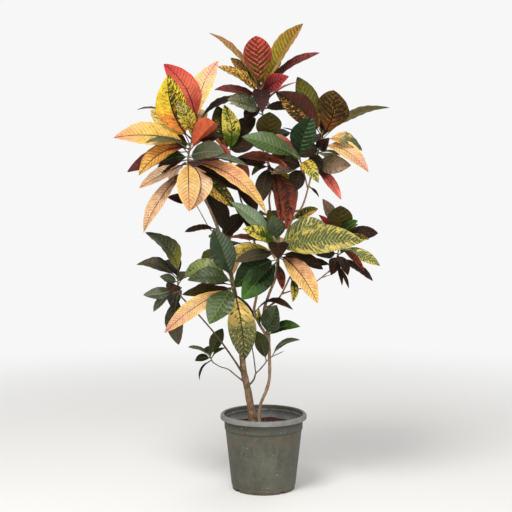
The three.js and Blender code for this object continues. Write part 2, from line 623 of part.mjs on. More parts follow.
// One leaf as a thin closed solid: its petiole starts inside the limb, its blade folds up from the midrib,
// and its edges wave. Each ring of the blade has three points on the upper face and three below them.
function leafSolid(limb, [, at, tip, width, turn, bow, form = {}], seed) {
  const root = limb.curve.getPoint(limb.rootShare(at));
  const span = place(tip).sub(root);
  const length = span.length();
  const along = span.normalize();
  const axis = limb.curve.getTangent(limb.rootShare(at)).add(UP).normalize();
  const inward = axis.addScaledVector(along, -axis.dot(along)).normalize();
  const forward = FRONT.clone().addScaledVector(along, -FRONT.dot(along)).normalize();
  const face = inward.multiplyScalar(Math.cos(radians(turn)));
  face.addScaledVector(forward, Math.sin(radians(turn))).normalize();
  const side = along.clone().cross(face);

  const petiole = form.petiole ?? Math.min(PETIOLE_SHARE, PETIOLE_LONGEST / length);
  const outline = OUTLINES[form.outline ?? 'oval'];
  const fold = radians(form.fold ?? FOLD);
  const sway = form.sway ?? 0;
  const twist = radians(TWIST) * (2 * chance(seed) - 1);
  const phase = 2 * Math.PI * chance(seed + 0.5);

  // The midrib's place, and the directions across the blade and out of its upper face
  const frameAt = (share) => {
    const arch = 4 * share * (1 - share) * length;
    const slope = 4 * (1 - 2 * share) * bow;
    const centre = root.clone().addScaledVector(along, share * length);
    centre.addScaledVector(face, arch * bow).addScaledVector(side, arch * sway);
    const flat = face.clone().addScaledVector(along, -slope).normalize();
    const roll = twist * share;
    const across = side.clone().multiplyScalar(Math.cos(roll)).addScaledVector(flat, Math.sin(roll));
    const normal = flat.multiplyScalar(Math.cos(roll)).addScaledVector(side, -Math.sin(roll));
    return (offset, rise) => centre.clone().addScaledVector(across, offset).addScaledVector(normal, rise);
  };

  const points = [];
  for (const share of [0, petiole]) {
    const at = frameAt(share);
    const half = PETIOLE_WIDTH / 2;
    points.push(at(-half, 0), at(half, 0), at(0, -RIB_THICKNESS));
  }
  const stations = BLADE_STATIONS.find(([least]) => width >= least)[1];
  for (const station of stations) {
    const at = frameAt(petiole + (1 - petiole) * station);
    const half = halfWidth(station, width, outline);
    const [reach, rise] = [half * Math.cos(fold), half * Math.sin(fold)];
    const turned = 2 * Math.PI * WAVE_COUNT * station + phase;
    const [left, right] = WAVE_SHIFTS.map((shift) => rise + 2 * half * EDGE_WAVE * Math.sin(turned + shift));
    points.push(at(-reach, left), at(0, 0), at(reach, right));
    points.push(at(reach, right - BLADE_THICKNESS), at(0, -RIB_THICKNESS));
    points.push(at(-reach, left - BLADE_THICKNESS));
  }
  points.push(root.clone().addScaledVector(along, length));
  return solidFrom(points, leafFaces(stations.length));
}

let leafCount = 0;

// A grown piece: its limbs and the leaves rooted in them, joined into one body.
function grownSolid(limbs, sides) {
  const parts = [];
  for (const { limb, leaves } of limbs) {
    parts.push(limb.solid(sides));
    for (const leaf of leaves) {
      leafCount += 1;
      parts.push(leafSolid(limb, leaf, leafCount));
    }
  }
  return soundBody(parts.reduce((whole, part) => whole.add(part)));
}

function material(colour, roughness) {
  return new THREE.MeshStandardMaterial({ color: colour, roughness, metalness: 0 });
}

// The mean colour of a shoot's leaves
function leafMaterial(leaves) {
  const mean = new THREE.Color(0);
  leaves.forEach(([kind]) => mean.add(new THREE.Color(LEAF_COLOURS[kind])));
  return material(mean.multiplyScalar(1 / leaves.length), 0.4);
}

function named(name, geometry, surface) {
  const mesh = new THREE.Mesh(geometry, surface);
  mesh.name = name;
  return mesh;
}

function lathe(profile) {
  const points = profile.map(([radius, height]) => new THREE.Vector2(radius, height));
  const geometry = new THREE.LatheGeometry(points, POT_SIDES);
  geometry.rotateX(Math.PI / 2);
  return geometry;
}

// The outer wall's radius below the collar
function wallRadius(height) {
  return THREE.MathUtils.mapLinear(height, FOOT_HEIGHT, COLLAR_BOTTOM, WALL_FOOT_RADIUS, WALL_TOP_RADIUS);
}

function potGeometry() {
  const lipBottom = POT_HEIGHT - LIP_HEIGHT;
  const groove = RIM_RADIUS - WALL;
  const lipTop = RIM_RADIUS - LIP_BEVEL;
  const profile = [
    [0, 0],
    [FOOT_RADIUS - SOFT_EDGE, 0],
    [FOOT_RADIUS, SOFT_EDGE],
    [FOOT_RADIUS + FOOT_DRAFT, FOOT_HEIGHT],
    [WALL_FOOT_RADIUS, FOOT_HEIGHT + SOFT_EDGE],
    [wallRadius(COLLAR_BOTTOM), COLLAR_BOTTOM],
    [wallRadius(COLLAR_BOTTOM) + COLLAR_STEP, COLLAR_BOTTOM + SOFT_EDGE],
    [COLLAR_RADIUS, lipBottom],
    [COLLAR_RADIUS, lipBottom + LIP_HOLLOW],
    [groove - SOFT_EDGE, lipBottom + LIP_HOLLOW],
    [groove, lipBottom],
    [RIM_RADIUS - SOFT_EDGE / 2, lipBottom],
    [RIM_RADIUS, lipBottom + LIP_BULGE],
    [RIM_RADIUS - LIP_BEVEL / 3, POT_HEIGHT - LIP_BEVEL / 2],
    [lipTop, POT_HEIGHT],
    [lipTop - LIP_TOP_WIDTH, POT_HEIGHT - SOFT_EDGE / 2],
    [lipTop - LIP_SLOPE, POT_HEIGHT - LIP_BEVEL],
    [COLLAR_RADIUS - WALL, lipBottom - LIP_BEVEL],
    [wallRadius(COLLAR_BOTTOM) - WALL, COLLAR_BOTTOM],
    [wallRadius(FLOOR) - WALL, FLOOR + FLOOR_FILLET],
    [wallRadius(FLOOR) - WALL - FLOOR_FILLET, FLOOR],
    [0, FLOOR],
  ];
  let solid = solidOf(lathe(profile));

  for (const angle of DRAIN_ANGLES) {
    const notch = new THREE.BoxGeometry(DRAIN_WIDTH, DRAIN_DEPTH, DRAIN_HEIGHT * 2);
    notch.translate(0, -FOOT_RADIUS, 0).rotateZ(radians(angle));
    solid = solid.subtract(solidOf(notch));
  }

  const mark = new THREE.CylinderGeometry(MARK.radius, MARK.radius, MARK.length, MARK.sides);
  mark.translate(0, MARK.length / 2 - MARK.proud - wallRadius(MARK.height), 0);
  mark.translate(0, 0, MARK.height).rotateZ(radians(MARK.angle));
  solid = solid.add(solidOf(mark));
  return geometryOf(soundBody(solid));
}

// The soil fills the pot to SOIL_TOP. Each stem stands in a plain hole in it.
function soilGeometry(stems) {
  const rim = wallRadius(COLLAR_BOTTOM) - WALL - CLEARANCE;
  const floor = wallRadius(FLOOR) - WALL - CLEARANCE;
  const chamfer = FLOOR_FILLET + CLEARANCE;
  const profile = [[0, FLOOR + CLEARANCE], [floor - chamfer, FLOOR + CLEARANCE], [floor, FLOOR + chamfer]];
  profile.push([rim, COLLAR_BOTTOM], [rim, SOIL_TOP - SOIL_EDGE]);
  for (let ring = SOIL_RINGS - 1; ring >= 0; ring -= 1) profile.push([(rim * ring) / SOIL_RINGS, SOIL_TOP]);
  const geometry = lathe(profile);
  const position = geometry.attributes.position;
  for (let i = 0; i < position.count; i += 1) {
    const [x, y, z] = position.array.slice(i * 3, i * 3 + 3);
    if (z > SOIL_TOP - SOIL_EDGE / 2) position.setZ(i, z + bumpAt(x, y));
  }
  const holes = stems.map(([limb, sides]) => limb.solid(sides, HOLE_CLEARANCE));
  const solid = holes.reduce((rest, hole) => rest.subtract(hole), solidOf(geometry));
  return geometryOf(soundBody(solid));
}

// A shoot starts face to face with the end of its limb, and leaves it in the same direction.
function shootLimb(parent, route) {
  const limb = new Limb(route);
  const end = parent.curve.getPoint(1);
  const along = parent.curve.getTangent(1);
  const steps = [CLEARANCE, CLEARANCE + SHOOT_LEAD];
  const start = steps.map((step) => end.clone().addScaledVector(along, step));
  const thickness = parent.radiusAt(1) * 2;
  limb.curve = new THREE.CatmullRomCurve3([...start, ...limb.curve.points], false, 'centripetal');
  limb.thickness = [thickness, thickness, ...limb.thickness];
  limb.firstRoot = FIRST_ROOT / (limb.thickness.length - 1);
  return limb;
}

const croton = new THREE.Group();
const limbs = {};

for (const stem of [MAIN_STEM, SECOND_STEM]) {
  for (const [key, { route }] of Object.entries(stem.limbs)) limbs[key] = new Limb(route);
}

const planted = [[limbs.trunk, MAIN_STEM.sides], [limbs.leader, SECOND_STEM.sides]];
croton.add(named('pot', potGeometry(), material(0x57564f, 0.65)));
croton.add(named('soil', soilGeometry(planted), material(0x2c1c14, 0.95)));

for (const stem of [MAIN_STEM, SECOND_STEM]) {
  const grown = Object.entries(stem.limbs).map(([key, { leaves }]) => ({ limb: limbs[key], leaves }));
  croton.add(named(stem.name, geometryOf(grownSolid(grown, stem.sides)), material(0x6b5038, 0.8)));
}

for (const { name, limb: key, route, leaves } of SHOOTS) {
  const limb = shootLimb(limbs[key], route);
  croton.add(named(name, geometryOf(grownSolid([{ limb, leaves }], SHOOT_SIDES)), leafMaterial(leaves)));
}

export default croton;
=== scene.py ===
"""A potted croton: two woody stems with crowns of variegated leaves, in the soil of a grey nursery pot.

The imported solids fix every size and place. This script repeats the routes of their limbs and the places of their
leaves in millimetres, and builds the same plant again with fine leaves, bark, soil and a smooth pot.
"""

import json
import logging
import math
import random
from collections.abc import Sequence
from dataclasses import dataclass, field
from enum import Enum
from functools import cache

import bmesh
import bpy
import numpy as np
from bpy.types import Material, Mesh, Node, NodeSocket, NodeTree, Object
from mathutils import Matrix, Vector, noise
from mathutils.kdtree import KDTree

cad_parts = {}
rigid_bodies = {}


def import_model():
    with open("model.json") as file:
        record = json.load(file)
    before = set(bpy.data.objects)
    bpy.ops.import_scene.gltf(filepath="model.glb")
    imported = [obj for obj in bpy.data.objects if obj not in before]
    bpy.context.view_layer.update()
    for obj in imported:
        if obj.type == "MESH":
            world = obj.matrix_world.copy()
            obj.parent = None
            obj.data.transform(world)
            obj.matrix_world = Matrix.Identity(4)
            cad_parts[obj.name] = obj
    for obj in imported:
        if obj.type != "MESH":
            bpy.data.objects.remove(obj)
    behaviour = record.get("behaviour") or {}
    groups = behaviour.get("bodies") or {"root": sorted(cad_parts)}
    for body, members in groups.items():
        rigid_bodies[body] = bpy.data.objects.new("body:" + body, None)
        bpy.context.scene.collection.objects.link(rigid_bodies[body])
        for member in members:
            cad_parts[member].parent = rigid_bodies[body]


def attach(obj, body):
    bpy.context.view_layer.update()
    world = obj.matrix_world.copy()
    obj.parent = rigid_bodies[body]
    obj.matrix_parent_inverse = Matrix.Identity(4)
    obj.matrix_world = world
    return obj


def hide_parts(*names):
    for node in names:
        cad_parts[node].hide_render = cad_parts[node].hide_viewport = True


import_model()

LOG = logging.getLogger("croton")
BODY = "root"
MM = 0.001
SEED = 20

Colour = tuple[float, float, float]
Mark = tuple[int, float]
Place = tuple[float, float, float]
Station = tuple[float, float, float, float]
Faces = list[list[int]]
Sockets = Sequence[NodeSocket]
MarkedSkin = tuple[np.ndarray, Faces, dict[str, np.ndarray]]

# The camera's place, in millimetres, from which all readings were taken.
EYE = Vector((-21.1, -3500.0, 966.0))
UP = Vector((0.0, 0.0, 1.0))
FRONT = Vector((0.0, -1.0, 0.0))

# A shoot starts this many millimetres beyond its parent's end, and keeps its direction over the lead.
JOINT_GAP = 0.3
SHOOT_LEAD = 4.0
# The spans of a shoot's curve below its lowest leaf.
FIRST_ROOT = 1.7
# The thickness of a bud as a share of its limb's, and how many millimetres beyond the limb's end.
BUD = ((1.05, 2.0), (0.8, 5.0), (0.4, 9.0), (0.08, 12.0))
# Degrees between two faces from which their edge stays sharp.
LIP_SHARP = 35.0
LEAF_SHARP = 55.0
NO_MARK = (0x000000, 0.0)


def linear(value: int) -> float:
    """Turn one channel as a screen shows it, from 0 to 255, into the value that shaders take."""
    share = value / 255
    return share / 12.92 if share <= 0.04045 else ((share + 0.055) / 1.055) ** 2.4


def rgb(screen: int) -> Colour:
    """Turn a colour as a screen shows it, two hex digits a channel, into the values that shaders take."""
    return tuple(linear(screen >> shift & 255) for shift in (16, 8, 0))


def place(spot: Place) -> Vector:
    """Find where a reading on the upright plane through the pot's axis lies at its own depth.

    Args:
        spot: the reading's X and Z on that plane, and its depth behind it on the same line of sight.

    Returns:
        The place in millimetres.
    """
    across, height, depth = spot
    return EYE + (Vector((across, 0.0, height)) - EYE) * (1 - depth / EYE.y)


def chance(seed: float) -> float:
    """Return a repeatable number from 0 to 1 for a seed."""
    value = math.sin(seed * 12.9898) * 43758.5453
    return value - math.floor(value)


@dataclass(frozen=True)
class LeafFinish:
    """The colours and markings of one kind of leaf.

    Attributes:
        base: the blade's colour near its petiole, as a screen shows it, like all these colours.
        middle: the colour half-way along.
        tip: the colour at the tip.
        vein: the side veins' colour, which on a few green leaves also paints sheen.
        midrib: the midrib's and the petiole's colour.
        under: the colour below.
        blotch: the colour of large patches, and how much of the blade they cover.
        fleck: the colour of small flecks, and how much of the blade they cover.
        half: the colour of the half to the right of the midrib, and its strength; on a few green leaves it is
            painted sheen.
        edge: the margin's colour, and its strength.
        by_rib: how much the patches gather along the midrib, or below 0 along the margin.
        sided: how much more of the markings the right half has, or below 0 the left half.
        veins: the side veins' strength.
        vein_width: their width, as a share of the space between them.
        rib_width: the midrib's half-width at mid-length, roughly, in millimetres.
        net: the strength of the fine net of veins.
        roughness: the blade's roughness.
        gloss: how strongly it reflects.
        coat: the strength of the smooth coat over it.
        base_until: the share of the blade up to which the base colour is pure.
        spacing: millimetres between two side veins of a middling leaf.
    """

    base: int
    middle: int
    tip: int
    vein: int
    midrib: int
    under: int
    blotch: Mark = NO_MARK
    fleck: Mark = NO_MARK
    half: Mark = NO_MARK
    edge: Mark = NO_MARK
    by_rib: float = 0.0
    sided: float = 0.0
    veins: float = 0.5
    vein_width: float = 0.16
    rib_width: float = 1.0
    net: float = 0.22
    roughness: float = 0.45
    gloss: float = 0.2
    coat: float = 0.0
    base_until: float = 0.1
    spacing: float = 11.5


class Look(Enum):
    """The kinds of leaf that the plant carries, from young gold to old dark ones."""

    GOLD = LeafFinish(
        0xE6B864, 0xEAC682, 0xE8AC78, 0xAA6038, 0x5C2218, 0xE2B072, edge=(0xF4D474, 0.5), veins=0.8,
        rib_width=1.25, spacing=9.4,
    )
    PEACH_AND_GOLD = LeafFinish(
        0x704A22, 0xE8B080, 0xF6D07C, 0xA45834, 0x34120E, 0xE2AC78, half=(0xF4CE74, 0.55), veins=0.8,
        rib_width=1.4, spacing=9.4,
    )
    GOLD_OLIVE_RIB = LeafFinish(
        0xDCAC46, 0xF2CC6C, 0xF2A880, 0x986828, 0x2C3206, 0xE2B068, edge=(0xEEB870, 0.5), veins=0.8,
        rib_width=1.8, spacing=9.4,
    )
    AMBER = LeafFinish(
        0x803816, 0xD08C3A, 0xF0BE60, 0x5C2A0E, 0x3C080E, 0xD08E50, edge=(0x5C480E, 0.5), veins=0.85,
        vein_width=0.17, rib_width=1.9,
    )
    PEACH = LeafFinish(
        0xECB088, 0xFEDCB4, 0xF8BE90, 0xA65440, 0x58201E, 0xFFD6B4, edge=(0xFAD288, 0.45), veins=0.85,
        vein_width=0.14, rib_width=1.2, spacing=9.4,
    )
    PEACH_DARK_BASE = LeafFinish(
        0x583824, 0xFCCE9E, 0xFCCA9C, 0xA04E38, 0x501C1A, 0xFFD2AE, edge=(0xF6CE7E, 0.45), veins=0.85,
        vein_width=0.14, rib_width=1.3, spacing=9.4,
    )
    # Its darker reddish base is painted shadow.
    PEACH_GOLD = LeafFinish(
        0xAA6046, 0xFCBC86, 0xFAD476, 0xA04C32, 0x4C161A, 0xE6A874, edge=(0xF8D46E, 0.6), veins=0.85,
        vein_width=0.15, rib_width=1.4, spacing=9.4,
    )
    PALE_PEACH = LeafFinish(
        0xECB874, 0xF4CC94, 0xF2A692, 0xBE704A, 0x6A4222, 0xF0C096, blotch=(0xEED070, 0.4),
        fleck=(0x745C2A, 0.14), by_rib=-0.4, veins=0.8, spacing=9.4,
    )
    YELLOW = LeafFinish(
        0xEE903E, 0xFCD03C, 0xDEC632, 0xAA7814, 0x181606, 0xD8B050, blotch=(0x2E3604, 0.3), fleck=(0x2C3804, 0.4),
        by_rib=0.4, sided=0.5, veins=0.65, rib_width=1.9, net=0.3, base_until=0.36, spacing=9.4,
    )
    PALE_YELLOW = LeafFinish(
        0xD0B038, 0xEED064, 0xF0CC7A, 0xA49430, 0x30320E, 0xD6B860, blotch=(0x606C18, 0.34),
        fleck=(0x343E0A, 0.36), veins=0.55, rib_width=1.2,
    )
    FLECKED_YELLOW = LeafFinish(
        0xE8B848, 0xE6CA50, 0xBEB870, 0x787C1C, 0x3E4210, 0xD6B860, blotch=(0x606C14, 0.42),
        fleck=(0x2C3806, 0.46), base_until=0.2, spacing=9.4,
    )
    LEMON = LeafFinish(
        0x465E0C, 0xDCC654, 0xE2D264, 0x707816, 0x2C380A, 0xB0A654, blotch=(0x2E4606, 0.46),
        fleck=(0x304208, 0.36), by_rib=0.2, veins=0.55, rib_width=1.3, net=0.3, base_until=0.3,
    )
    CORAL = LeafFinish(
        0xAA3E2C, 0xE27254, 0xC6383E, 0x882820, 0x400C0E, 0xD66C56, edge=(0xCA3E3C, 0.5), veins=0.85,
        rib_width=1.5, spacing=9.4,
    )
    ORANGE = LeafFinish(0xAA462A, 0xCA603C, 0xC85836, 0xA03A22, 0x842A1A, 0xD46640, veins=0.6, roughness=0.5)
    MAROON = LeafFinish(
        0x2E120C, 0x5E2822, 0x7E3634, 0x985046, 0x802E2C, 0x68342E, blotch=(0x220E08, 0.42), veins=0.55,
        roughness=0.36,
    )
    PURPLE = LeafFinish(0x120A07, 0x281712, 0x3E2420, 0x54322A, 0x542822, 0x36221C, veins=0.45, roughness=0.34)
    SHADE = LeafFinish(0x161006, 0x261C0D, 0x382414, 0x4E3C22, 0x483C1A, 0x2C2610, blotch=(0x2E160A, 0.35))
    BROWN = LeafFinish(
        0x120A02, 0x221305, 0x2E1909, 0x4C2E14, 0x5C3018, 0x3C2612, blotch=(0x401C0C, 0.35), roughness=0.36,
    )
    SLATE = LeafFinish(
        0x28301A, 0x42482E, 0x585A40, 0x7C8062, 0x868A5C, 0x6C684C, veins=0.4, vein_width=0.13, roughness=0.36,
        coat=0.7,
    )
    DIM = LeafFinish(
        0x1E1E0C, 0x3E3928, 0x4E4232, 0x5A5234, 0x605430, 0x4A422A, veins=0.45, vein_width=0.14, roughness=0.36,
        coat=0.15,
    )
    MOTTLED = LeafFinish(
        0x546038, 0x707654, 0x928C70, 0x969472, 0x786A46, 0x928A6C, blotch=(0x344622, 0.42),
        fleck=(0xAAB080, 0.34), roughness=0.34, coat=0.3,
    )
    DEEP = LeafFinish(
        0x101801, 0x142204, 0x1C2A09, 0x3C5022, 0x54682C, 0x4C542A, veins=0.4, vein_width=0.13, roughness=0.4,
        gloss=0.16,
    )
    # Dark green; the pale stripes and the paler half to the right of the midrib are painted sheen.
    DARK_GREEN_SHEEN = LeafFinish(
        0x101E05, 0x102A06, 0x122E0A, 0x6C8260, 0x324C20, 0x4C562C, half=(0x34502C, 0.25), veins=0.7,
        vein_width=0.24, sided=1.0, roughness=0.3, coat=0.1,
    )
    # The pale side veins, wider and stronger right of the midrib, are veins with painted sheen over them.
    GREEN = LeafFinish(
        0x242E06, 0x2C3C10, 0x38461A, 0x607048, 0x3A4A1A, 0x5E6438, fleck=(0x768046, 0.12), veins=0.6,
        vein_width=0.27, roughness=0.32, coat=0.6, sided=0.6, rib_width=0.75,
    )
    # Dark green; the grey stripes and the grey half to the right of the midrib are painted sheen.
    GREY_GREEN_SHEEN = LeafFinish(
        0x1E2C08, 0x24360E, 0x2C3C16, 0x6A7662, 0x283818, 0x5E6438, half=(0x54624A, 0.34), veins=0.75,
        vein_width=0.3, sided=1.0, rib_width=0.8, roughness=0.32, coat=0.4,
    )
    YELLOW_BASE = LeafFinish(
        0x8E8A16, 0x2A3212, 0x323A1E, 0x5A623E, 0x2E3814, 0x5E6238, fleck=(0x968E28, 0.12), veins=0.55,
        vein_width=0.22, rib_width=0.8, sided=-0.4, roughness=0.34, coat=0.4,
    )
    # The greyer half to the right of the midrib is painted sheen.
    MID_GREEN = LeafFinish(
        0x283A08, 0x3A5014, 0x3A5A18, 0x76884A, 0x788A42, 0x68703C, fleck=(0x8C9660, 0.14), half=(0x7A8660, 0.22),
        vein_width=0.2, roughness=0.32, coat=0.7, rib_width=0.8,
    )
    BRIGHT = LeafFinish(
        0x0C1801, 0x142A02, 0x366210, 0x466422, 0x6E8834, 0x566C2C, veins=0.45, vein_width=0.14, roughness=0.4,
        coat=0.1,
    )
    PALE_GREEN = LeafFinish(
        0x4C601E, 0x808C4C, 0x707C48, 0xB0B272, 0xA0A05C, 0x7A7E4E, blotch=(0x445820, 0.45), veins=0.6,
        vein_width=0.2, roughness=0.36, coat=0.4,
    )
    SAGE = LeafFinish(
        0x546E42, 0x7A906A, 0x70865E, 0xA8B894, 0x96A878, 0x88906C, veins=0.6, vein_width=0.15, roughness=0.34,
        coat=0.6, sided=0.5,
    )
    FLECKED = LeafFinish(
        0x243008, 0x28360C, 0x303A10, 0x8C7428, 0x302C08, 0x685E2A, fleck=(0xE8BA54, 0.44), edge=(0xC49842, 0.35),
        veins=0.4, net=0.3, sided=0.5,
    )
    SPECKLED = LeafFinish(
        0x1A2006, 0x282E0C, 0x363610, 0x605822, 0x463C16, 0x544C24, fleck=(0xCEA84E, 0.26), veins=0.4,
    )
    GOLD_FLECKED = LeafFinish(
        0x3E280C, 0x583C12, 0x947028, 0xCE9640, 0x4A2810, 0x925042, fleck=(0xE8B854, 0.46), edge=(0x34260A, 0.5),
        veins=0.6, net=0.3,
    )
    VARIEGATED = LeafFinish(
        0x546028, 0x546438, 0x586430, 0xD2BE5E, 0x707E4E, 0x968E4E, blotch=(0xDEC460, 0.48),
        fleck=(0x3C4C1C, 0.3), edge=(0x586228, 0.35), veins=0.7, vein_width=0.24, by_rib=-0.34, roughness=0.38,
        coat=0.3, sided=0.15, spacing=8.4, rib_width=1.2,
    )
    STREAKED = LeafFinish(
        0x5C682C, 0x606E46, 0x6E7A4C, 0xE4D26C, 0x8C904C, 0x968E4E, blotch=(0xE2CC68, 0.4), veins=0.85,
        vein_width=0.26, roughness=0.38, coat=0.3,
    )
    OLIVE_GOLD = LeafFinish(
        0x80800E, 0x766E14, 0x765614, 0xCE9E50, 0x9C682E, 0xA27442, blotch=(0x463E04, 0.22), half=(0xB4844E, 0.5),
        edge=(0xB28242, 0.35), veins=0.7, vein_width=0.24,
    )
    OLIVE_PINK = LeafFinish(
        0xA8A624, 0xA4803E, 0xA88E3C, 0xCEA45A, 0x7C4232, 0xA86854, blotch=(0x604218, 0.34),
        fleck=(0xB2B030, 0.3), half=(0x9E5848, 0.7), veins=0.6, vein_width=0.2,
    )
    RED_VEINED = LeafFinish(
        0x5C5008, 0x642C16, 0xA82E2E, 0xD66E4E, 0x782424, 0xA0503A, blotch=(0x3E2808, 0.42),
        edge=(0xAA2E30, 0.55), veins=1.0, vein_width=0.24, by_rib=0.3, rib_width=0.8, base_until=0.26, net=0.3,
    )
    CRIMSON = LeafFinish(
        0x300C0C, 0x702222, 0xAC3834, 0x2C0A0A, 0x420E0E, 0x742E2A, blotch=(0x280A0A, 0.3), edge=(0xAA3632, 0.5),
        veins=0.9, vein_width=0.26,
    )
    BRONZE = LeafFinish(
        0x7C441A, 0x2A2105, 0x3A2A0A, 0x82561E, 0x1E1604, 0x5A321E, blotch=(0x52380E, 0.36),
        fleck=(0xDEA04A, 0.2), veins=0.7, vein_width=0.2, by_rib=-0.4, rib_width=1.3, roughness=0.38,
    )
    HALF_MAROON = LeafFinish(
        0x5C2C12, 0x2A2608, 0x282808, 0x74501E, 0x281608, 0x5A3222, blotch=(0x342A08, 0.42),
        fleck=(0xE2A04A, 0.24), half=(0x622224, 0.44), sided=-0.5, veins=0.35, roughness=0.38, net=0.34,
    )
    OLIVE = LeafFinish(
        0x6C6604, 0x5C5804, 0x484408, 0x948834, 0x847C28, 0x6C6228, edge=(0x2C2C06, 0.6), veins=0.65,
        vein_width=0.18, roughness=0.36, coat=0.1,
    )
    OLIVE_GREEN = LeafFinish(
        0x2A2C08, 0x363A10, 0x323612, 0x545626, 0x545222, 0x54542C, blotch=(0x463012, 0.25), roughness=0.36,
        coat=0.1,
    )
    DUSKY = LeafFinish(
        0x282202, 0x423906, 0x302A04, 0x5A4A12, 0x5E3C14, 0x4A3C16, blotch=(0x5C260C, 0.26), veins=0.35,
        roughness=0.38,
    )
    TAN = LeafFinish(0x5A5024, 0x746A3C, 0x645C34, 0x908452, 0x968650, 0x685E38, veins=0.45)
    MAUVE = LeafFinish(
        0x463E22, 0x7A664C, 0x8E7054, 0xA08868, 0x966C50, 0x76604C, blotch=(0x483C26, 0.4), roughness=0.36,
        coat=0.4,
    )
    RUSSET = LeafFinish(
        0x3E240A, 0x5C2614, 0x944228, 0x984026, 0x300E06, 0x70321E, blotch=(0x241203, 0.44), by_rib=0.3, net=0.4,
    )
    CORAL_TIP = LeafFinish(
        0x1C0E0E, 0xC46052, 0xFA9074, 0xB43C36, 0x5C181A, 0xBA6454, edge=(0xD63E3E, 0.6), veins=0.7,
        base_until=0.3,
    )
    GOLD_BASE = LeafFinish(
        0xEEB468, 0x5C6034, 0x3C4428, 0x868450, 0x846C36, 0x82784C, blotch=(0xE4B060, 0.35), veins=0.4,
        by_rib=-0.3, roughness=0.34, coat=0.4, base_until=0.2,
    )
    GOLD_GREEN = LeafFinish(
        0xF4CE74, 0x5C6434, 0x303C22, 0xCEB05A, 0x281C06, 0xB08E54, blotch=(0x3C4822, 0.46),
        fleck=(0xD8B85E, 0.28), veins=0.6, rib_width=1.8, by_rib=0.1, net=0.3, coat=0.3, base_until=0.32,
    )
    ROSE = LeafFinish(0x602A24, 0xBC6854, 0xD6886E, 0x863E34, 0x5C2620, 0xB06654, veins=0.55)


class Outline(Enum):
    """A blade's outline: the place of its widest part, and its fullness."""

    OVAL = (1.0, 0.8)
    ROUND = (1.5, 0.7)


@dataclass(frozen=True)
class Leaf:
    """One leaf as it is measured.

    Attributes:
        look: its finish.
        at: its place along its limb, from 0 to 1.
        tip: where its tip lies.
        width: its widest, in millimetres.
        turn: degrees that its upper face is turned from the limb's axis to the front.
        bow: how far its midrib arches towards that face, as a share of its length.
        outline: the blade's outline.
        fold: degrees that each half of the blade is raised.
        sway: the midrib's sideways arch, as a share of its length.
        petiole: the petiole's share of the length, where it isn't the usual one.
    """

    look: Look
    at: float
    tip: Place
    width: float
    turn: float
    bow: float
    outline: Outline = Outline.OVAL
    fold: float = 16.0
    sway: float = 0.0
    petiole: float | None = None


@dataclass(frozen=True)
class Branch:
    """One limb of a stem: its route as X, Z, depth and thickness, and the leaves rooted in it."""

    name: str
    route: Sequence[Station]
    leaves: Sequence[Leaf] = ()


@dataclass(frozen=True)
class Shoot:
    """One leafy shoot, which continues the limb that it is named for."""

    name: str
    limb: str
    slot: str
    route: Sequence[Station]
    leaves: Sequence[Leaf]

MAIN_BRANCHES = (
    Branch("trunk", (
        (-30, 118, 0, 20), (-29, 172, 0, 29), (-32, 206, 0, 24), (-38, 240, 0, 20), (-44, 278, 0, 19),
        (-50, 302, 0, 19), (-56, 334, 0, 18), (-62, 420, -3, 16), (-70, 480, -5, 14.5), (-81, 552, -5, 13),
        (-100, 640, 0, 11), (-126, 725, -5, 9), (-150, 783, -16, 7.4), (-163, 812, -22, 6.6),
    ), (
        Leaf(Look.BROWN, 0.845, (-217, 715, -10), 30, 25, 0.07),
        Leaf(Look.SLATE, 0.79, (-86, 757, 30), 36, 60, 0.06),
        Leaf(Look.SHADE, 0.82, (-50, 762, -4), 52, 60, 0.06),
    )),
    Branch("left", (
        (-58, 322, -2, 7.5), (-80, 357, -10, 5.6), (-119, 413, -16, 5.2), (-164, 468, -18, 5),
        (-205, 513, -10, 5), (-222, 530, -2, 5),
    )),
    Branch("lowLeft", (
        (-54, 298, 0, 5.4), (-79, 318, 4, 4.2), (-99, 334, 8, 3.8), (-121, 341, 10, 3.5), (-136, 350, 12, 3.4),
    )),
    Branch("lowMiddle", (
        (-46, 283, 0, 6.6), (-27, 305, -10, 5), (-22, 321, -16, 4.6), (-12, 331, -20, 4.2), (0, 345, -23, 4),
    )),
    Branch("lowUpright", ((-22, 322, -16, 4.4), (-27, 365, -17, 4), (-38, 428, -18, 3))),
    Branch("spur", ((-119, 706, -4, 5), (-147, 722, 0, 3.8), (-160, 744, 3, 3.4), (-186, 792, 8, 3)), (
        Leaf(Look.PURPLE, 1, (-264, 811, 12), 30, 60, 0.06),
    )),
    Branch("leftFront", ((-77, 520, -5, 7.5), (-80, 538, -22, 6))),
    Branch("backLeft", ((-92, 604, -2, 7), (-92, 622, 20, 5.6))),
)

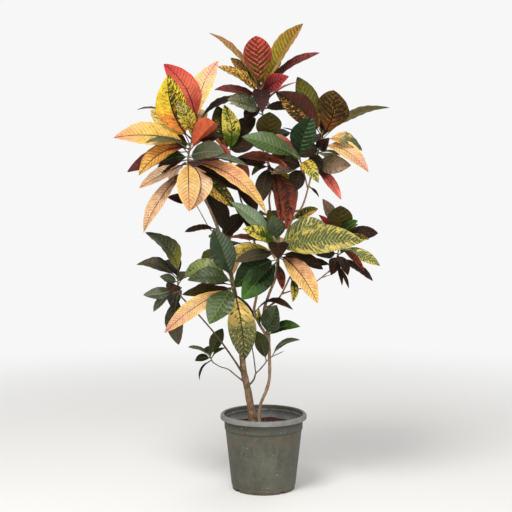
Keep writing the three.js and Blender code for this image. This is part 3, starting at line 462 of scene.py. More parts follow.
SECOND_BRANCHES = (
    Branch("leader", (
        (-12, 118, -18, 9), (-12, 180, -18, 10), (-9, 233, -17, 8.6), (0, 256, -16, 8.6), (9, 278, -15, 9.6),
        (15, 300, -14, 8.8), (17, 340, -14, 8.6), (15, 400, -12, 8.6), (14, 430, -12, 8.4), (0, 490, -8, 8.2),
        (12, 535, -6, 8.2), (36, 600, -4, 8), (40, 640, 4, 7.6), (33, 700, 14, 7), (15, 800, 14, 6.4),
        (20, 843, 12, 6), (12, 900, 16, 5.4), (5, 960, 20, 5), (0, 1005, 22, 4.6),
    )),
    Branch("inner", (
        (17, 385, -13, 8), (5, 430, -14, 8), (-13, 462, -10, 8.4), (-26, 495, -6, 8.4), (-20, 537, 0, 8),
        (-14, 600, 12, 7), (-24, 680, 18, 6.4), (-42, 740, 18, 5.6), (-60, 795, 14, 5),
    ), (
        Leaf(Look.GREEN, 0.14, (36, 513, -60), 66, 65, 0.08, sway=0.08),
        Leaf(Look.BRIGHT, 0.1, (101, 453, -60), 36, 50, 0.1, sway=-0.1),
        Leaf(Look.LEMON, 0.22, (-14, 508, -34), 14, 60, 0.05),
        Leaf(Look.BROWN, 0.36, (81, 500, -75), 32, 18, 0.24),
    )),
    Branch("right", (
        (39, 635, 4, 7), (60, 700, 10, 6.5), (78, 748, 6, 6.2), (101, 777, 2, 6), (113, 805, 0, 5.6),
        (122, 838, 0, 5.2), (127, 858, 6, 5),
    ), (
        Leaf(Look.FLECKED, 0.33, (149, 779, -12), 34, 60, 0.06),
        Leaf(Look.PURPLE, 0.86, (151, 811, -30), 13, 25, 0.05),
    )),
    Branch("lowerRight", (
        (8, 505, -8, 6.6), (30, 520, -14, 6), (43, 533, -16, 5.6), (70, 585, -18, 5), (74, 594, -18, 4.4),
    ), (
        Leaf(Look.LEMON, 0.9, (80, 521, -55), 24, 60, 0.15, sway=-0.08),
    )),
    Branch("farRight", (
        (48, 543, -17, 5), (82, 554, -14, 4.4), (115, 562, -8, 4.2), (143, 577, -2, 4.2), (176, 603, 4, 4),
    )),
    Branch("farRightFork", ((156, 587, 1, 3.6), (186, 598, 12, 2.6))),
    Branch("upperRightLow", ((121, 832, 0, 5), (114, 862, -10, 4.4))),
    Branch("front", ((34, 590, -4, 8), (36, 612, -22, 6.4))),
    Branch("centre", ((19, 841, 12, 5.6), (16, 864, -4, 4.6))),
    Branch("back", ((39, 644, 4, 7), (40, 668, 24, 5.6))),
)

SHOOTS = (
    Shoot("shoot_upper_left", "trunk", "gold_leaves", (
        (-190, 868, -36, 6), (-206, 905, -42, 5.6), (-200, 950, -40, 5.2), (-182, 1008, -32, 4),
    ), (
        Leaf(Look.GOLD_OLIVE_RIB, 0.72, (-409, 973, -80), 74, 60, 0.14),
        Leaf(Look.YELLOW, 0.78, (-260, 1142, -75), 88, 80, 0.06, sway=-0.12),
        Leaf(Look.FLECKED_YELLOW, 0.86, (-235, 1071, -100), 48, 70, 0.1),
        Leaf(Look.CORAL, 0.97, (-271, 1172, -20), 72, 72, 0.08, sway=0.1),
        Leaf(Look.PALE_PEACH, 1, (-123, 1180, 10), 60, 70, 0.08, sway=-0.08),
        Leaf(Look.MAROON, 0.7, (-344, 1049, 60), 40, 12, 0.2),
        Leaf(Look.PALE_YELLOW, 0.8, (-308, 1046, 0), 60, 75, 0.06),
        Leaf(Look.ORANGE, 0.6, (-133, 1014, -120), 80, -52, 0.05, fold=46),
        Leaf(Look.SLATE, 0.5, (-107, 935, -130), 62, 60, 0.1),
        Leaf(Look.SLATE, 0.42, (-41, 894, -80), 34, 30, 0.12),
        Leaf(Look.SLATE, 0.62, (-322, 959, -130), 26, 25, 0.14),
        Leaf(Look.AMBER, 0.65, (-342, 870, -95), 58, 50, 0.26),
        Leaf(Look.DEEP, 0.5, (-276, 908, -100), 38, 50, 0.1),
        Leaf(Look.MAROON, 0.6, (-373, 879, 10), 50, -55, 0.12),
        Leaf(Look.PEACH, 0.4, (-341, 836, -20), 44, 55, 0.04),
        Leaf(Look.PEACH_DARK_BASE, 0.32, (-330, 713, -30), 50, 62, 0.13),
        Leaf(Look.GOLD, 0.45, (-204, 772, -125), 64, 45, 0.12),
        Leaf(Look.PEACH, 0.42, (-200, 774, -100), 66, 50, 0.1, sway=-0.22),
        Leaf(Look.PEACH_GOLD, 0.4, (8, 765, -100), 64, 40, 0.2),
        Leaf(Look.FLECKED, 0.28, (-86, 783, -60), 56, 60, 0.1),
        Leaf(Look.SHADE, 0.3, (-100, 715, 105), 60, 60, 0.08),
        Leaf(Look.SHADE, 0.12, (-76, 782, 80), 44, 60, 0.06),
        Leaf(Look.DEEP, 0.55, (-270, 960, 110), 56, 10, 0.1),
        Leaf(Look.GOLD, 0.7, (-170, 1050, 110), 58, 20, 0.1),
        Leaf(Look.MAROON, 0.45, (-160, 850, 110), 56, 0, 0.12),
        Leaf(Look.LEMON, 0.9, (-225, 1090, 80), 54, 30, 0.1),
        Leaf(Look.PEACH, 0.35, (-250, 850, 90), 52, 10, 0.12),
        Leaf(Look.SHADE, 0.35, (-60, 826, -70), 54, 50, 0.1),
        Leaf(Look.BROWN, 0.45, (-294, 876, -10), 46, 50, 0.1),
        Leaf(Look.MAROON, 0.5, (-92, 868, -30), 50, 40, 0.1),
        Leaf(Look.BROWN, 0.8, (-122, 976, -40), 50, 60, 0.1),
        Leaf(Look.SHADE, 0.7, (-266, 966, -30), 50, 60, 0.1),
    )),
    Shoot("shoot_top", "leader", "red_leaves", ((-4, 1045, 18, 4.6), (-7, 1080, 12, 4.4), (-9, 1106, 8, 3.6)), (
        Leaf(Look.RED_VEINED, 0.95, (-21, 1247, -20), 80, 85, 0.05, outline=Outline.ROUND),
        Leaf(Look.OLIVE_GOLD, 0.9, (106, 1280, 30), 64, 55, 0.08, fold=30, sway=0.01),
        Leaf(Look.OLIVE_PINK, 0.85, (-147, 1255, -10), 48, 26, 0.09),
        Leaf(Look.OLIVE_PINK, 0.8, (-90, 1188, 25), 46, 45, 0.06),
        Leaf(Look.LEMON, 0.9, (-55, 1204, 50), 42, 60, 0.06),
        Leaf(Look.GOLD_FLECKED, 0.7, (-125, 1164, -50), 54, 45, 0.08),
        Leaf(Look.MAROON, 0.5, (-134, 1102, -60), 38, 42, 0.1),
        Leaf(Look.MAROON, 0.8, (152, 1202, 10), 38, 30, 0.1),
        Leaf(Look.CRIMSON, 0.75, (68, 1138, -95), 52, 70, 0.1),
        Leaf(Look.ROSE, 0.3, (89, 1123, -30), 26, 12, 0.08),
        Leaf(Look.PURPLE, 0.9, (-3, 1041, -85), 50, 45, 0.22),
        Leaf(Look.MOTTLED, 0.1, (-98, 1077, -50), 62, 50, 0.06),
        Leaf(Look.SLATE, 0.02, (-94, 1065, 10), 20, 18, 0.04),
        Leaf(Look.BROWN, 0.2, (74, 1058, 50), 36, 45, 0.02),
        Leaf(Look.SLATE, 0.3, (16, 1066, 70), 34, 60, 0.05),
        Leaf(Look.BROWN, 0.4, (-174, 1019, 15), 48, 25, 0.2),
        Leaf(Look.OLIVE, 0.8, (40, 1190, 100), 56, 20, 0.1),
        Leaf(Look.MAROON, 0.7, (-60, 1150, 105), 52, 10, 0.12),
        Leaf(Look.DEEP, 0.5, (20, 1110, 130), 54, 0, 0.14),
        Leaf(Look.SHADE, 0.3, (-52, 1018, -10), 44, 50, 0.1),
    )),
    Shoot("shoot_inner", "inner", "olive_leaves", (
        (-77, 858, 12, 4.8), (-92, 910, 8, 4.6), (-105, 955, 5, 3.6),
    ), (
        Leaf(Look.SPECKLED, 0.85, (-126, 1059, 20), 60, 70, 0.06),
        Leaf(Look.LEMON, 0.7, (-107, 1062, -10), 52, 70, 0.06, sway=0.13),
        Leaf(Look.AMBER, 0.8, (-152, 1008, 0), 34, 60, 0.05),
        Leaf(Look.CORAL, 0.4, (-121, 958, -45), 24, 15, 0.06),
        Leaf(Look.RUSSET, 0.6, (66, 893, -100), 42, 25, 0.1),
        Leaf(Look.BROWN, 0.5, (-48, 824, -5), 44, 55, 0.1),
        Leaf(Look.BROWN, 0.4, (-142, 882, 30), 46, 60, 0.08),
        Leaf(Look.SHADE, 0.85, (-28, 950, -10), 46, 65, 0.1),
        Leaf(Look.SPECKLED, 0.03, (-13, 800, 30), 30, 45, 0.06),
        Leaf(Look.BROWN, 0.55, (-10, 893, 40), 30, 40, 0.08),
        Leaf(Look.DEEP, 0.8, (-100, 1000, 120), 54, 0, 0.1),
        Leaf(Look.SHADE, 0.5, (-60, 900, 120), 50, 0, 0.12),
        Leaf(Look.BROWN, 0.3, (-20, 770, -30), 50, 50, 0.12),
        Leaf(Look.MAROON, 0.45, (-40, 862, -50), 46, 50, 0.12),
        Leaf(Look.SHADE, 0.9, (-22, 1026, 24), 56, 60, 0.08),
    )),
    Shoot("shoot_centre", "centre", "red_leaves", ((14, 900, -16, 4.2), (9, 955, -26, 3.4)), (
        Leaf(Look.DUSKY, 1, (16, 1042, -85), 72, 80, 0.06, outline=Outline.ROUND),
        Leaf(Look.RUSSET, 0.1, (45, 742, -75), 40, 60, 0.1, sway=-0.08),
        Leaf(Look.RUSSET, 0.15, (62, 722, -95), 48, 60, 0.1, sway=-0.13),
        Leaf(Look.OLIVE, 0.08, (84, 778, -45), 32, 60, 0.1, sway=-0.16),
        Leaf(Look.PURPLE, 0.05, (52, 714, -70), 28, 60, 0.08, sway=-0.2),
        Leaf(Look.SPECKLED, 0.1, (-33, 870, -45), 28, 30, 0.2),
        Leaf(Look.BROWN, 0.3, (-50, 903, -40), 40, 50, 0.06),
        Leaf(Look.BROWN, 0.5, (64, 922, -75), 36, 60, 0.06),
        Leaf(Look.SPECKLED, 0.05, (38, 806, -55), 26, 60, 0.1),
        Leaf(Look.DEEP, 0.9, (75, 985, 90), 52, 20, 0.1),
        Leaf(Look.MAROON, 0.6, (-75, 945, 90), 50, 0, 0.12),
        Leaf(Look.SHADE, 0.2, (-10, 792, -62), 46, 60, 0.1),
        Leaf(Look.BROWN, 0.3, (30, 820, 40), 44, 50, 0.1),
    )),
    Shoot("shoot_upper_right", "right", "olive_leaves", (
        (137, 900, 14, 4.8), (150, 940, 18, 4.6), (160, 985, 20, 3.6),
    ), (
        Leaf(Look.HALF_MAROON, 0.9, (32, 1096, -50), 74, 75, 0.06, sway=0.06),
        Leaf(Look.OLIVE, 0.95, (91, 1137, 20), 64, 72, 0.08, sway=-0.03),
        Leaf(Look.BRONZE, 0.9, (190, 1101, -40), 94, 85, 0.05, outline=Outline.ROUND, sway=0.1),
        Leaf(Look.TAN, 0.8, (342, 1054, 20), 44, -25, 0.12),
        Leaf(Look.GOLD_BASE, 0.72, (269, 937, -45), 50, 48, 0.26, petiole=0.3),
        Leaf(Look.PALE_PEACH, 0.6, (286, 879, -80), 52, 42, 0.22),
        Leaf(Look.MAUVE, 0.25, (238, 897, -60), 56, 70, 0.06, sway=0.08),
        Leaf(Look.CORAL_TIP, 0.15, (212, 804, -30), 32, 60, 0.08),
        Leaf(Look.PURPLE, 0.55, (178, 972, -75), 36, 70, 0.08),
        Leaf(Look.TAN, 0.45, (208, 924, -60), 20, 30, 0.1),
        Leaf(Look.DEEP, 0.75, (52, 1000, 30), 22, 20, 0.04),
        Leaf(Look.DEEP, 0.8, (200, 1030, 110), 56, 10, 0.1),
        Leaf(Look.MAROON, 0.6, (120, 980, 120), 54, 0, 0.1),
        Leaf(Look.OLIVE, 0.45, (190, 900, 100), 52, 0, 0.12),
        Leaf(Look.CRIMSON, 0.95, (130, 1070, 90), 52, 20, 0.1),
        Leaf(Look.SHADE, 0.5, (132, 868, -40), 44, 60, 0.1),
        Leaf(Look.BROWN, 0.4, (170, 858, -10), 46, 60, 0.1),
        Leaf(Look.SHADE, 0.7, (92, 922, -30), 50, 60, 0.06),
    )),
    Shoot("shoot_upper_right_low", "upperRightLow", "green_leaves", (
        (106, 890, -22, 4.2), (98, 918, -32, 3.4),
    ), (
        Leaf(Look.DARK_GREEN_SHEEN, 0.9, (132, 1030, -95), 74, 75, 0.06, sway=-0.05),
        Leaf(Look.MID_GREEN, 0.95, (-59, 975, -110), 58, 62, 0.1),
        Leaf(Look.ROSE, 0.8, (18, 983, -30), 42, 80, 0.06),
        Leaf(Look.MAUVE, 0.4, (20, 874, -75), 34, 60, 0.06),
        Leaf(Look.SLATE, 0.7, (68, 946, -50), 26, 60, 0.05),
        Leaf(Look.PURPLE, 0.02, (60, 862, 10), 24, 28, 0.04),
        Leaf(Look.FLECKED_YELLOW, 0.6, (150, 850, -90), 40, 55, 0.3),
        Leaf(Look.ROSE, 0.5, (112, 874, -70), 16, 60, 0.1),
        Leaf(Look.OLIVE, 0.8, (70, 960, 80), 48, 10, 0.1),
        Leaf(Look.SHADE, 0.3, (84, 826, -40), 44, 60, 0.1),
        Leaf(Look.SHADE, 0.3, (48, 912, -50), 42, 60, 0.1),
    )),
    Shoot("shoot_front", "front", "green_leaves", ((38, 640, -38, 6), (41, 690, -50, 4.4)), (
        Leaf(Look.SAGE, 0.95, (-90, 797, -90), 46, 55, 0.05),
        Leaf(Look.GREEN, 1, (25, 760, -60), 52, 78, 0.06),
        Leaf(Look.STREAKED, 0.8, (168, 738, -40), 66, 60, 0.16),
        Leaf(Look.VARIEGATED, 0.6, (272, 689, -150), 86, 56, 0.14),
        Leaf(Look.PEACH_AND_GOLD, 0.45, (149, 518, -135), 62, 58, 0.16, sway=-0.03),
        Leaf(Look.BROWN, 0.95, (41, 640, -135), 62, 0, 0.1, fold=28),
        Leaf(Look.RUSSET, 0.8, (-99, 699, -75), 36, 20, 0.06),
        Leaf(Look.LEMON, 0.85, (-57, 724, -110), 46, 50, 0.06),
        Leaf(Look.PALE_YELLOW, 0.6, (-108, 645, -20), 62, 60, 0.05),
        Leaf(Look.DIM, 0.5, (-78, 633, -100), 40, 50, 0.08),
        Leaf(Look.DEEP, 0.2, (-80, 562, -90), 70, 50, 0.2),
        Leaf(Look.BRIGHT, 0.1, (-60, 528, -120), 76, 64, 0.1),
        Leaf(Look.MAROON, 0.35, (124, 590, -40), 44, 60, 0.08),
        Leaf(Look.BROWN, 0.15, (0, 566, -40), 34, 60, 0.1),
        Leaf(Look.RUSSET, 0.1, (52, 556, -50), 26, 50, 0.08),
        Leaf(Look.SHADE, 1, (-32, 776, -30), 26, 30, 0.06),
        Leaf(Look.OLIVE, 1, (12, 776, -20), 34, 60, 0.06),
        Leaf(Look.BROWN, 0.5, (164, 612, -50), 48, 50, 0.1),
        Leaf(Look.RUSSET, 0.4, (118, 604, -16), 42, 50, 0.1),
        Leaf(Look.SHADE, 0.7, (-80, 786, -48), 56, 60, 0.06),
    )),
    Shoot("shoot_left_front", "leftFront", "green_leaves", ((-83, 560, -34, 5.6), (-85, 585, -38, 4.2)), (
        Leaf(Look.GREY_GREEN_SHEEN, 0.9, (-137, 725, -60), 70, 78, 0.04),
        Leaf(Look.PALE_GREEN, 0.7, (-220, 591, -10), 62, 45, 0.36),
        Leaf(Look.GREEN, 0.6, (-210, 582, -85), 50, 52, 0.24),
        Leaf(Look.MID_GREEN, 0.4, (-150, 460, -110), 74, 72, 0.08),
        Leaf(Look.GOLD_GREEN, 0.15, (-53, 360, -95), 80, 70, 0.06, sway=-0.03),
        Leaf(Look.PALE_PEACH, 0.3, (-274, 436, -70), 50, 62, 0.16),
        Leaf(Look.DUSKY, 0.3, (-225, 542, 0), 34, 45, 0.02),
        Leaf(Look.RUSSET, 0.1, (-150, 552, 20), 22, 50, 0.05),
        Leaf(Look.MAROON, 0.5, (-193, 560, 10), 26, 28, 0.1),
        Leaf(Look.SHADE, 0.2, (-36, 420, -30), 50, 60, 0.1),
    )),
    Shoot("shoot_left", "left", "green_leaves", ((-235, 556, -4, 4.8), (-236, 590, -4, 3.6)), (
        Leaf(Look.YELLOW_BASE, 0.95, (-325, 714, -30), 64, 52, 0.24, sway=0.03),
        Leaf(Look.DIM, 0.85, (-350, 625, 10), 42, 55, 0.16, sway=0.1),
        Leaf(Look.SLATE, 0.7, (-286, 592, -60), 28, 60, 0.05),
        Leaf(Look.BROWN, 0.5, (-257, 548, -75), 46, 30, 0.1, outline=Outline.ROUND),
        Leaf(Look.SLATE, 0.4, (-332, 541, -30), 38, 50, 0.02, sway=-0.1),
        Leaf(Look.SLATE, 0.15, (-304, 494, -20), 30, 35, 0.14),
        Leaf(Look.ROSE, 0.8, (-183, 597, -20), 16, 25, 0.05),
        Leaf(Look.DIM, 0.1, (-235, 402, -10), 56, 75, 0.05, sway=0.06),
        Leaf(Look.DEEP, 0.1, (-240, 462, 34), 42, 40, 0.1),
        Leaf(Look.SHADE, 0.8, (-260, 640, 100), 50, 10, 0.12),
        Leaf(Look.OLIVE, 0.5, (-190, 600, 110), 48, 0, 0.12),
        Leaf(Look.BROWN, 0.3, (-250, 500, 100), 46, 0, 0.12),
    )),
    Shoot("shoot_right", "farRight", "olive_leaves", (
        (196, 630, 2, 4.2), (206, 665, 0, 4), (207, 705, -4, 3.4),
    ), (
        Leaf(Look.DUSKY, 1, (210, 787, -45), 70, 82, 0.05, outline=Outline.ROUND),
        Leaf(Look.MAUVE, 0.95, (161, 806, 10), 42, 50, 0.06),
        Leaf(Look.CRIMSON, 0.9, (151, 762, -28), 24, 60, 0.06),
        Leaf(Look.BROWN, 0.95, (314, 712, -10), 44, 68, 0.12),
        Leaf(Look.BRIGHT, 0.95, (258, 746, -65), 38, 55, 0.08),
        Leaf(Look.FLECKED, 0.75, (289, 695, -50), 36, 45, 0.1),
        Leaf(Look.VARIEGATED, 0.6, (320, 622, -60), 38, 62, 0.14),
        Leaf(Look.RUSSET, 0.6, (277, 605, -85), 22, 22, 0.12),
        Leaf(Look.PURPLE, 0.35, (301, 580, -10), 34, 40, 0.05),
        Leaf(Look.BROWN, 0.4, (232, 595, -80), 32, 40, 0.1),
        Leaf(Look.BROWN, 0.35, (186, 596, -80), 38, 40, 0.1),
        Leaf(Look.BROWN, 0.2, (216, 567, -20), 14, 40, 0.08),
        Leaf(Look.BROWN, 0.15, (235, 559, -30), 14, 40, 0.08),
        Leaf(Look.SHADE, 0.45, (136, 657, -30), 46, 60, 0.06),
        Leaf(Look.SHADE, 0.02, (112, 632, 20), 26, 45, 0.05),
        Leaf(Look.OLIVE, 0.9, (250, 730, 100), 50, 10, 0.12),
        Leaf(Look.DEEP, 0.6, (160, 680, 110), 50, 0, 0.12),
        Leaf(Look.RUSSET, 0.4, (260, 650, 90), 48, 0, 0.12),
    )),
    Shoot("shoot_low_left", "lowLeft", "green_leaves", ((-144, 360, 14, 3.2), (-150, 372, 16, 2.8)), (
        Leaf(Look.OLIVE_GREEN, 0.8, (-113, 448, 25), 40, 72, 0.08),
        Leaf(Look.SLATE, 1, (-209, 396, 10), 24, 25, 0.1),
        Leaf(Look.DEEP, 0.6, (-190, 357, -20), 26, 45, 0.14),
        Leaf(Look.PURPLE, 0.2, (-178, 303, 0), 13, 35, 0.22),
        Leaf(Look.DEEP, 0.5, (-105, 393, 40), 14, 30, 0.16),
        Leaf(Look.DEEP, 0.7, (-150, 400, 80), 30, 0, 0.1),
    )),
    Shoot("shoot_low_middle", "lowMiddle", "olive_leaves", (
        (9, 357, -26, 3.6), (22, 368, -28, 3), (47, 380, -28, 2.2),
    ), (
        Leaf(Look.OLIVE_GREEN, 0.08, (-20, 441, -30), 42, 65, 0.06),
        Leaf(Look.SLATE, 0.55, (101, 416, -20), 22, 30, 0.24),
    )),
    Shoot("shoot_back", "back", "olive_leaves", ((42, 700, 44, 5), (42, 740, 60, 3.8)), (
        Leaf(Look.DEEP, 0.9, (-10, 760, 150), 56, 0, 0.1),
        Leaf(Look.OLIVE, 0.8, (95, 770, 150), 54, 0, 0.1),
        Leaf(Look.VARIEGATED, 0.6, (120, 700, 150), 60, 0, 0.12),
        Leaf(Look.MAROON, 0.5, (-40, 690, 150), 54, 0, 0.12),
        Leaf(Look.GOLD, 0.3, (30, 640, 160), 56, 0, 0.12),
        Leaf(Look.DEEP, 1, (45, 775, 130), 50, 0, 0.08),
    )),
    Shoot("shoot_back_left", "backLeft", "green_leaves", ((-90, 650, 42, 5), (-88, 685, 56, 3.8)), (
        Leaf(Look.DEEP, 0.9, (-150, 700, 130), 52, 0, 0.1),
        Leaf(Look.OLIVE, 0.6, (-170, 620, 140), 52, 0, 0.12),
        Leaf(Look.GOLD, 0.4, (-90, 590, 150), 54, 0, 0.12),
        Leaf(Look.PURPLE, 0.8, (-40, 670, 140), 50, 0, 0.1),
    )),
)


@dataclass
class Limb:
    """A limb as a smooth curve with its thickness along it, in millimetres.

    Attributes:
        points: the points that the curve passes through.
        thickness: the limb's thickness at each of them.
        first_root: the share of the curve where its lowest leaf may stand.
    """

    points: list[Vector]
    thickness: list[float]
    first_root: float = 0.0

    @classmethod
    def along(cls, route: Sequence[Station]) -> "Limb":
        """Make the limb of a measured route."""
        return cls([place(station[:3]) for station in route], [station[3] for station in route])

    @classmethod
    def continuing(cls, parent: "Limb", route: Sequence[Station]) -> "Limb":
        """Make a shoot's limb, which leaves the end of its parent in the same direction.

        Args:
            parent: the limb that it continues.
            route: its own measured route.

        Returns:
            The limb, with two points for the joint before its own.
        """
        end, heading = parent.point(1.0), parent.heading(1.0)
        start = [end + heading * step for step in (JOINT_GAP, JOINT_GAP + SHOOT_LEAD)]
        own = cls.along(route)
        thick = parent.radius(1.0) * 2
        thickness = [thick, thick, *own.thickness]
        return cls([*start, *own.points], thickness, FIRST_ROOT / (len(thickness) - 1))

    def root_share(self, at: float) -> float:
        """Return the share of the whole limb at a leaf's place."""
        return self.first_root + (1 - self.first_root) * at

    def point(self, share: float) -> Vector:
        """Find a point of the curve, which is a centripetal Catmull-Rom spline.

        Args:
            share: the share of the curve, from 0 to 1.

        Returns:
            The point.
        """
        points = self.points
        spot = min(max(share, 0.0), 1.0) * (len(points) - 1)
        index = min(int(spot), len(points) - 2)
        here, following = points[index], points[index + 1]
        before = points[index - 1] if index > 0 else here * 2 - following
        after = points[index + 2] if index + 2 < len(points) else following * 2 - here
        spans = [math.sqrt((b - a).length) for a, b in ((before, here), (here, following), (following, after))]
        first, middle, last = spans
        start = (here - before) / first - (following - before) / (first + middle) + (following - here) / middle
        end = (following - here) / middle - (after - here) / (middle + last) + (after - following) / last
        start, end, weight = start * middle, end * middle, spot - index
        cubic = here * 2 - following * 2 + start + end
        square = following * 3 - here * 3 - start * 2 - end
        return here + weight * (start + weight * (square + weight * cubic))

    def heading(self, share: float, step: float = 0.0001) -> Vector:
        """Return the curve's direction at a share of it."""
        return (self.point(share + step) - self.point(share - step)).normalized()

    def radius(self, share: float) -> float:
        """Find half the thickness.

        Args:
            share: the share of the limb, from 0 to 1.

        Returns:
            The radius there, in millimetres.
        """
        spot = share * (len(self.thickness) - 1)
        index = min(int(spot), len(self.thickness) - 2)
        low, high = self.thickness[index], self.thickness[index + 1]
        return (low + (high - low) * (spot - index)) / 2

    def length(self) -> float:
        """Return the limb's rough length."""
        return sum((b - a).length for a, b in zip(self.points, self.points[1:]))


class Wiring:
    """Builds a shader's nodes, one call for each step of the work."""

    def __init__(self, tree: NodeTree) -> None:
        """Work in one node tree."""
        self.tree = tree

    def node(self, kind: str, **settings: object) -> Node:
        """Add a node.

        Args:
            kind: its type.
            settings: what its own options are set to.

        Returns:
            The node.
        """
        node = self.tree.nodes.new(kind)
        for name, value in settings.items():
            setattr(node, name, value)
        return node

    def feed(self, socket: NodeSocket, value: object) -> None:
        """Give an input its value.

        Args:
            socket: the input.
            value: an output to link it to, or a plain value. A colour is either as a screen shows it, in one
                number, or in the values that shaders take.
        """
        if isinstance(value, NodeSocket):
            self.tree.links.new(value, socket)
        elif socket.type == "RGBA":
            socket.default_value = (*(rgb(value) if isinstance(value, int) else value), 1.0)
        else:
            socket.default_value = value

    def fill(self, sockets: Sockets, values: Sequence[object]) -> None:
        """Give inputs their values, in their order."""
        for socket, value in zip(sockets, values):
            self.feed(socket, value)

    def put(self, node: Node, **values: object) -> Node:
        """Give a node's inputs their values.

        Args:
            node: the node.
            values: the values, by the names of the inputs with _ for a space.

        Returns:
            The same node.
        """
        for name, value in values.items():
            self.feed(node.inputs[name.replace("_", " ")], value)
        return node

    def outcome(self, kind: str, values: Sequence[object], **settings: object) -> NodeSocket:
        """Add a node that works something out.

        Args:
            kind: its type.
            values: what its inputs get, in their order.
            settings: what its own options are set to.

        Returns:
            Its first output.
        """
        node = self.node(kind, **settings)
        self.fill(node.inputs, values)
        return node.outputs[0]

    def math(self, operation: str, *values: object) -> NodeSocket:
        """Work out one sum."""
        return self.outcome("ShaderNodeMath", values, operation=operation)

    def add(self, *values: object) -> NodeSocket:
        """Add two values."""
        return self.math("ADD", *values)

    def minus(self, *values: object) -> NodeSocket:
        """Take the second value from the first."""
        return self.math("SUBTRACT", *values)

    def times(self, *values: object) -> NodeSocket:
        """Multiply two values."""
        return self.math("MULTIPLY", *values)

    def size(self, value: object) -> NodeSocket:
        """Drop a value's sign."""
        return self.math("ABSOLUTE", value)

    def step(self, value: object, low: object, high: object) -> NodeSocket:
        """Return 0 at low, 1 at high, and a smooth step between them."""
        node = self.node("ShaderNodeMapRange", interpolation_type="SMOOTHSTEP")
        return self.put(node, Value=value, From_Min=low, From_Max=high).outputs[0]

    def covered(self, cloud: object, amount: NodeSocket, rare: float, soft: float) -> NodeSocket:
        """Find where a cloudy value is above the level that an amount stands for.

        Args:
            cloud: the value.
            amount: how much is to be covered, from 0 for nothing to 1.
            rare: the level that hardly any place reaches.
            soft: the width of the step at the level.

        Returns:
            The mask of those places.
        """
        level = self.minus(rare, self.times(amount, 0.52))
        found = self.step(cloud, level, self.add(level, soft))
        return self.times(found, self.math("GREATER_THAN", amount, 0.0))

    def vector(self, across: object, along: object, up: object) -> NodeSocket:
        """Join three values in a vector."""
        return self.outcome("ShaderNodeCombineXYZ", (across, along, up))

    def stretched(self, parts: Sockets, wide: float, high: float) -> NodeSocket:
        """Scale a place by one factor across and another one upwards."""
        across, depth, height = parts
        return self.vector(self.times(across, wide), self.times(depth, wide), self.times(height, high))

    def apart(self, vector: object) -> Sockets:
        """Split a vector in its three values."""
        return self.put(self.node("ShaderNodeSeparateXYZ"), Vector=vector).outputs

    def spot(self) -> NodeSocket:
        """Return the place on the piece, in metres."""
        return self.node("ShaderNodeTexCoord").outputs["Object"]

    def noise(self, vector: object, scale: float, detail: float = 2.0, roughness: float = 0.5) -> NodeSocket:
        """Return cloudy values round a half."""
        node = self.node("ShaderNodeTexNoise", noise_dimensions="3D")
        return self.put(node, Vector=vector, Scale=scale, Detail=detail, Roughness=roughness).outputs["Fac"]

    def mix(self, factor: object, under: object, over: object) -> NodeSocket:
        """Lay one colour over another.

        Args:
            factor: how much of the upper colour shows.
            under: the lower colour.
            over: the upper colour.

        Returns:
            The mixed colour.
        """
        node = self.node("ShaderNodeMix", data_type="RGBA")
        self.fill((node.inputs[0], node.inputs[6], node.inputs[7]), (factor, under, over))
        return node.outputs[2]

    def layers(self, colour: object, *rows: tuple[object, float, object]) -> NodeSocket:
        """Lay colours over a first one, each by its mask and strength."""
        for mask, strength, over in rows:
            colour = self.mix(self.times(mask, strength), colour, over)
        return colour

    def attribute(self, name: str) -> Sockets:
        """Read three values that a mesh carries."""
        return self.apart(self.node("ShaderNodeAttribute", attribute_name=name).outputs["Vector"])

    def ramp(self, factor: object, *stops: tuple[float, int]) -> NodeSocket:
        """Grade colours along a value.

        Args:
            factor: the value.
            stops: where each colour is pure, and the colour as a screen shows it.

        Returns:
            The colour.
        """
        node = self.node("ShaderNodeValToRGB")
        elements = node.color_ramp.elements
        while len(elements) < len(stops):
            elements.new(0.5)
        for element, (position, colour) in zip(elements, stops):
            element.position = position
            element.color = (*rgb(colour), 1.0)
        self.feed(node.inputs[0], factor)
        return node.outputs["Color"]

    def group(self, kind: NodeTree, **values: object) -> Sockets:
        """Place a node group with its own values, and return its outputs."""
        return self.put(self.node("ShaderNodeGroup", node_tree=kind), **values).outputs


def new_group(name: str, inputs: dict[str, float], outputs: Sequence[str]) -> tuple[Wiring, Sockets, Sockets]:
    """Start a shader node group.

    Args:
        name: the group's name.
        inputs: each input with its usual value.
        outputs: the names of its outputs.

    Returns:
        The wiring of the group, the sockets that its inputs give, and the ones that its outputs take.
    """
    tree = bpy.data.node_groups.new(name, "ShaderNodeTree")
    for label, value in inputs.items():
        tree.interface.new_socket(label, in_out="INPUT", socket_type="NodeSocketFloat").default_value = value
    for label in outputs:
        tree.interface.new_socket(label, in_out="OUTPUT", socket_type="NodeSocketFloat")
    w = Wiring(tree)
    return w, w.node("NodeGroupInput").outputs, w.node("NodeGroupOutput").inputs


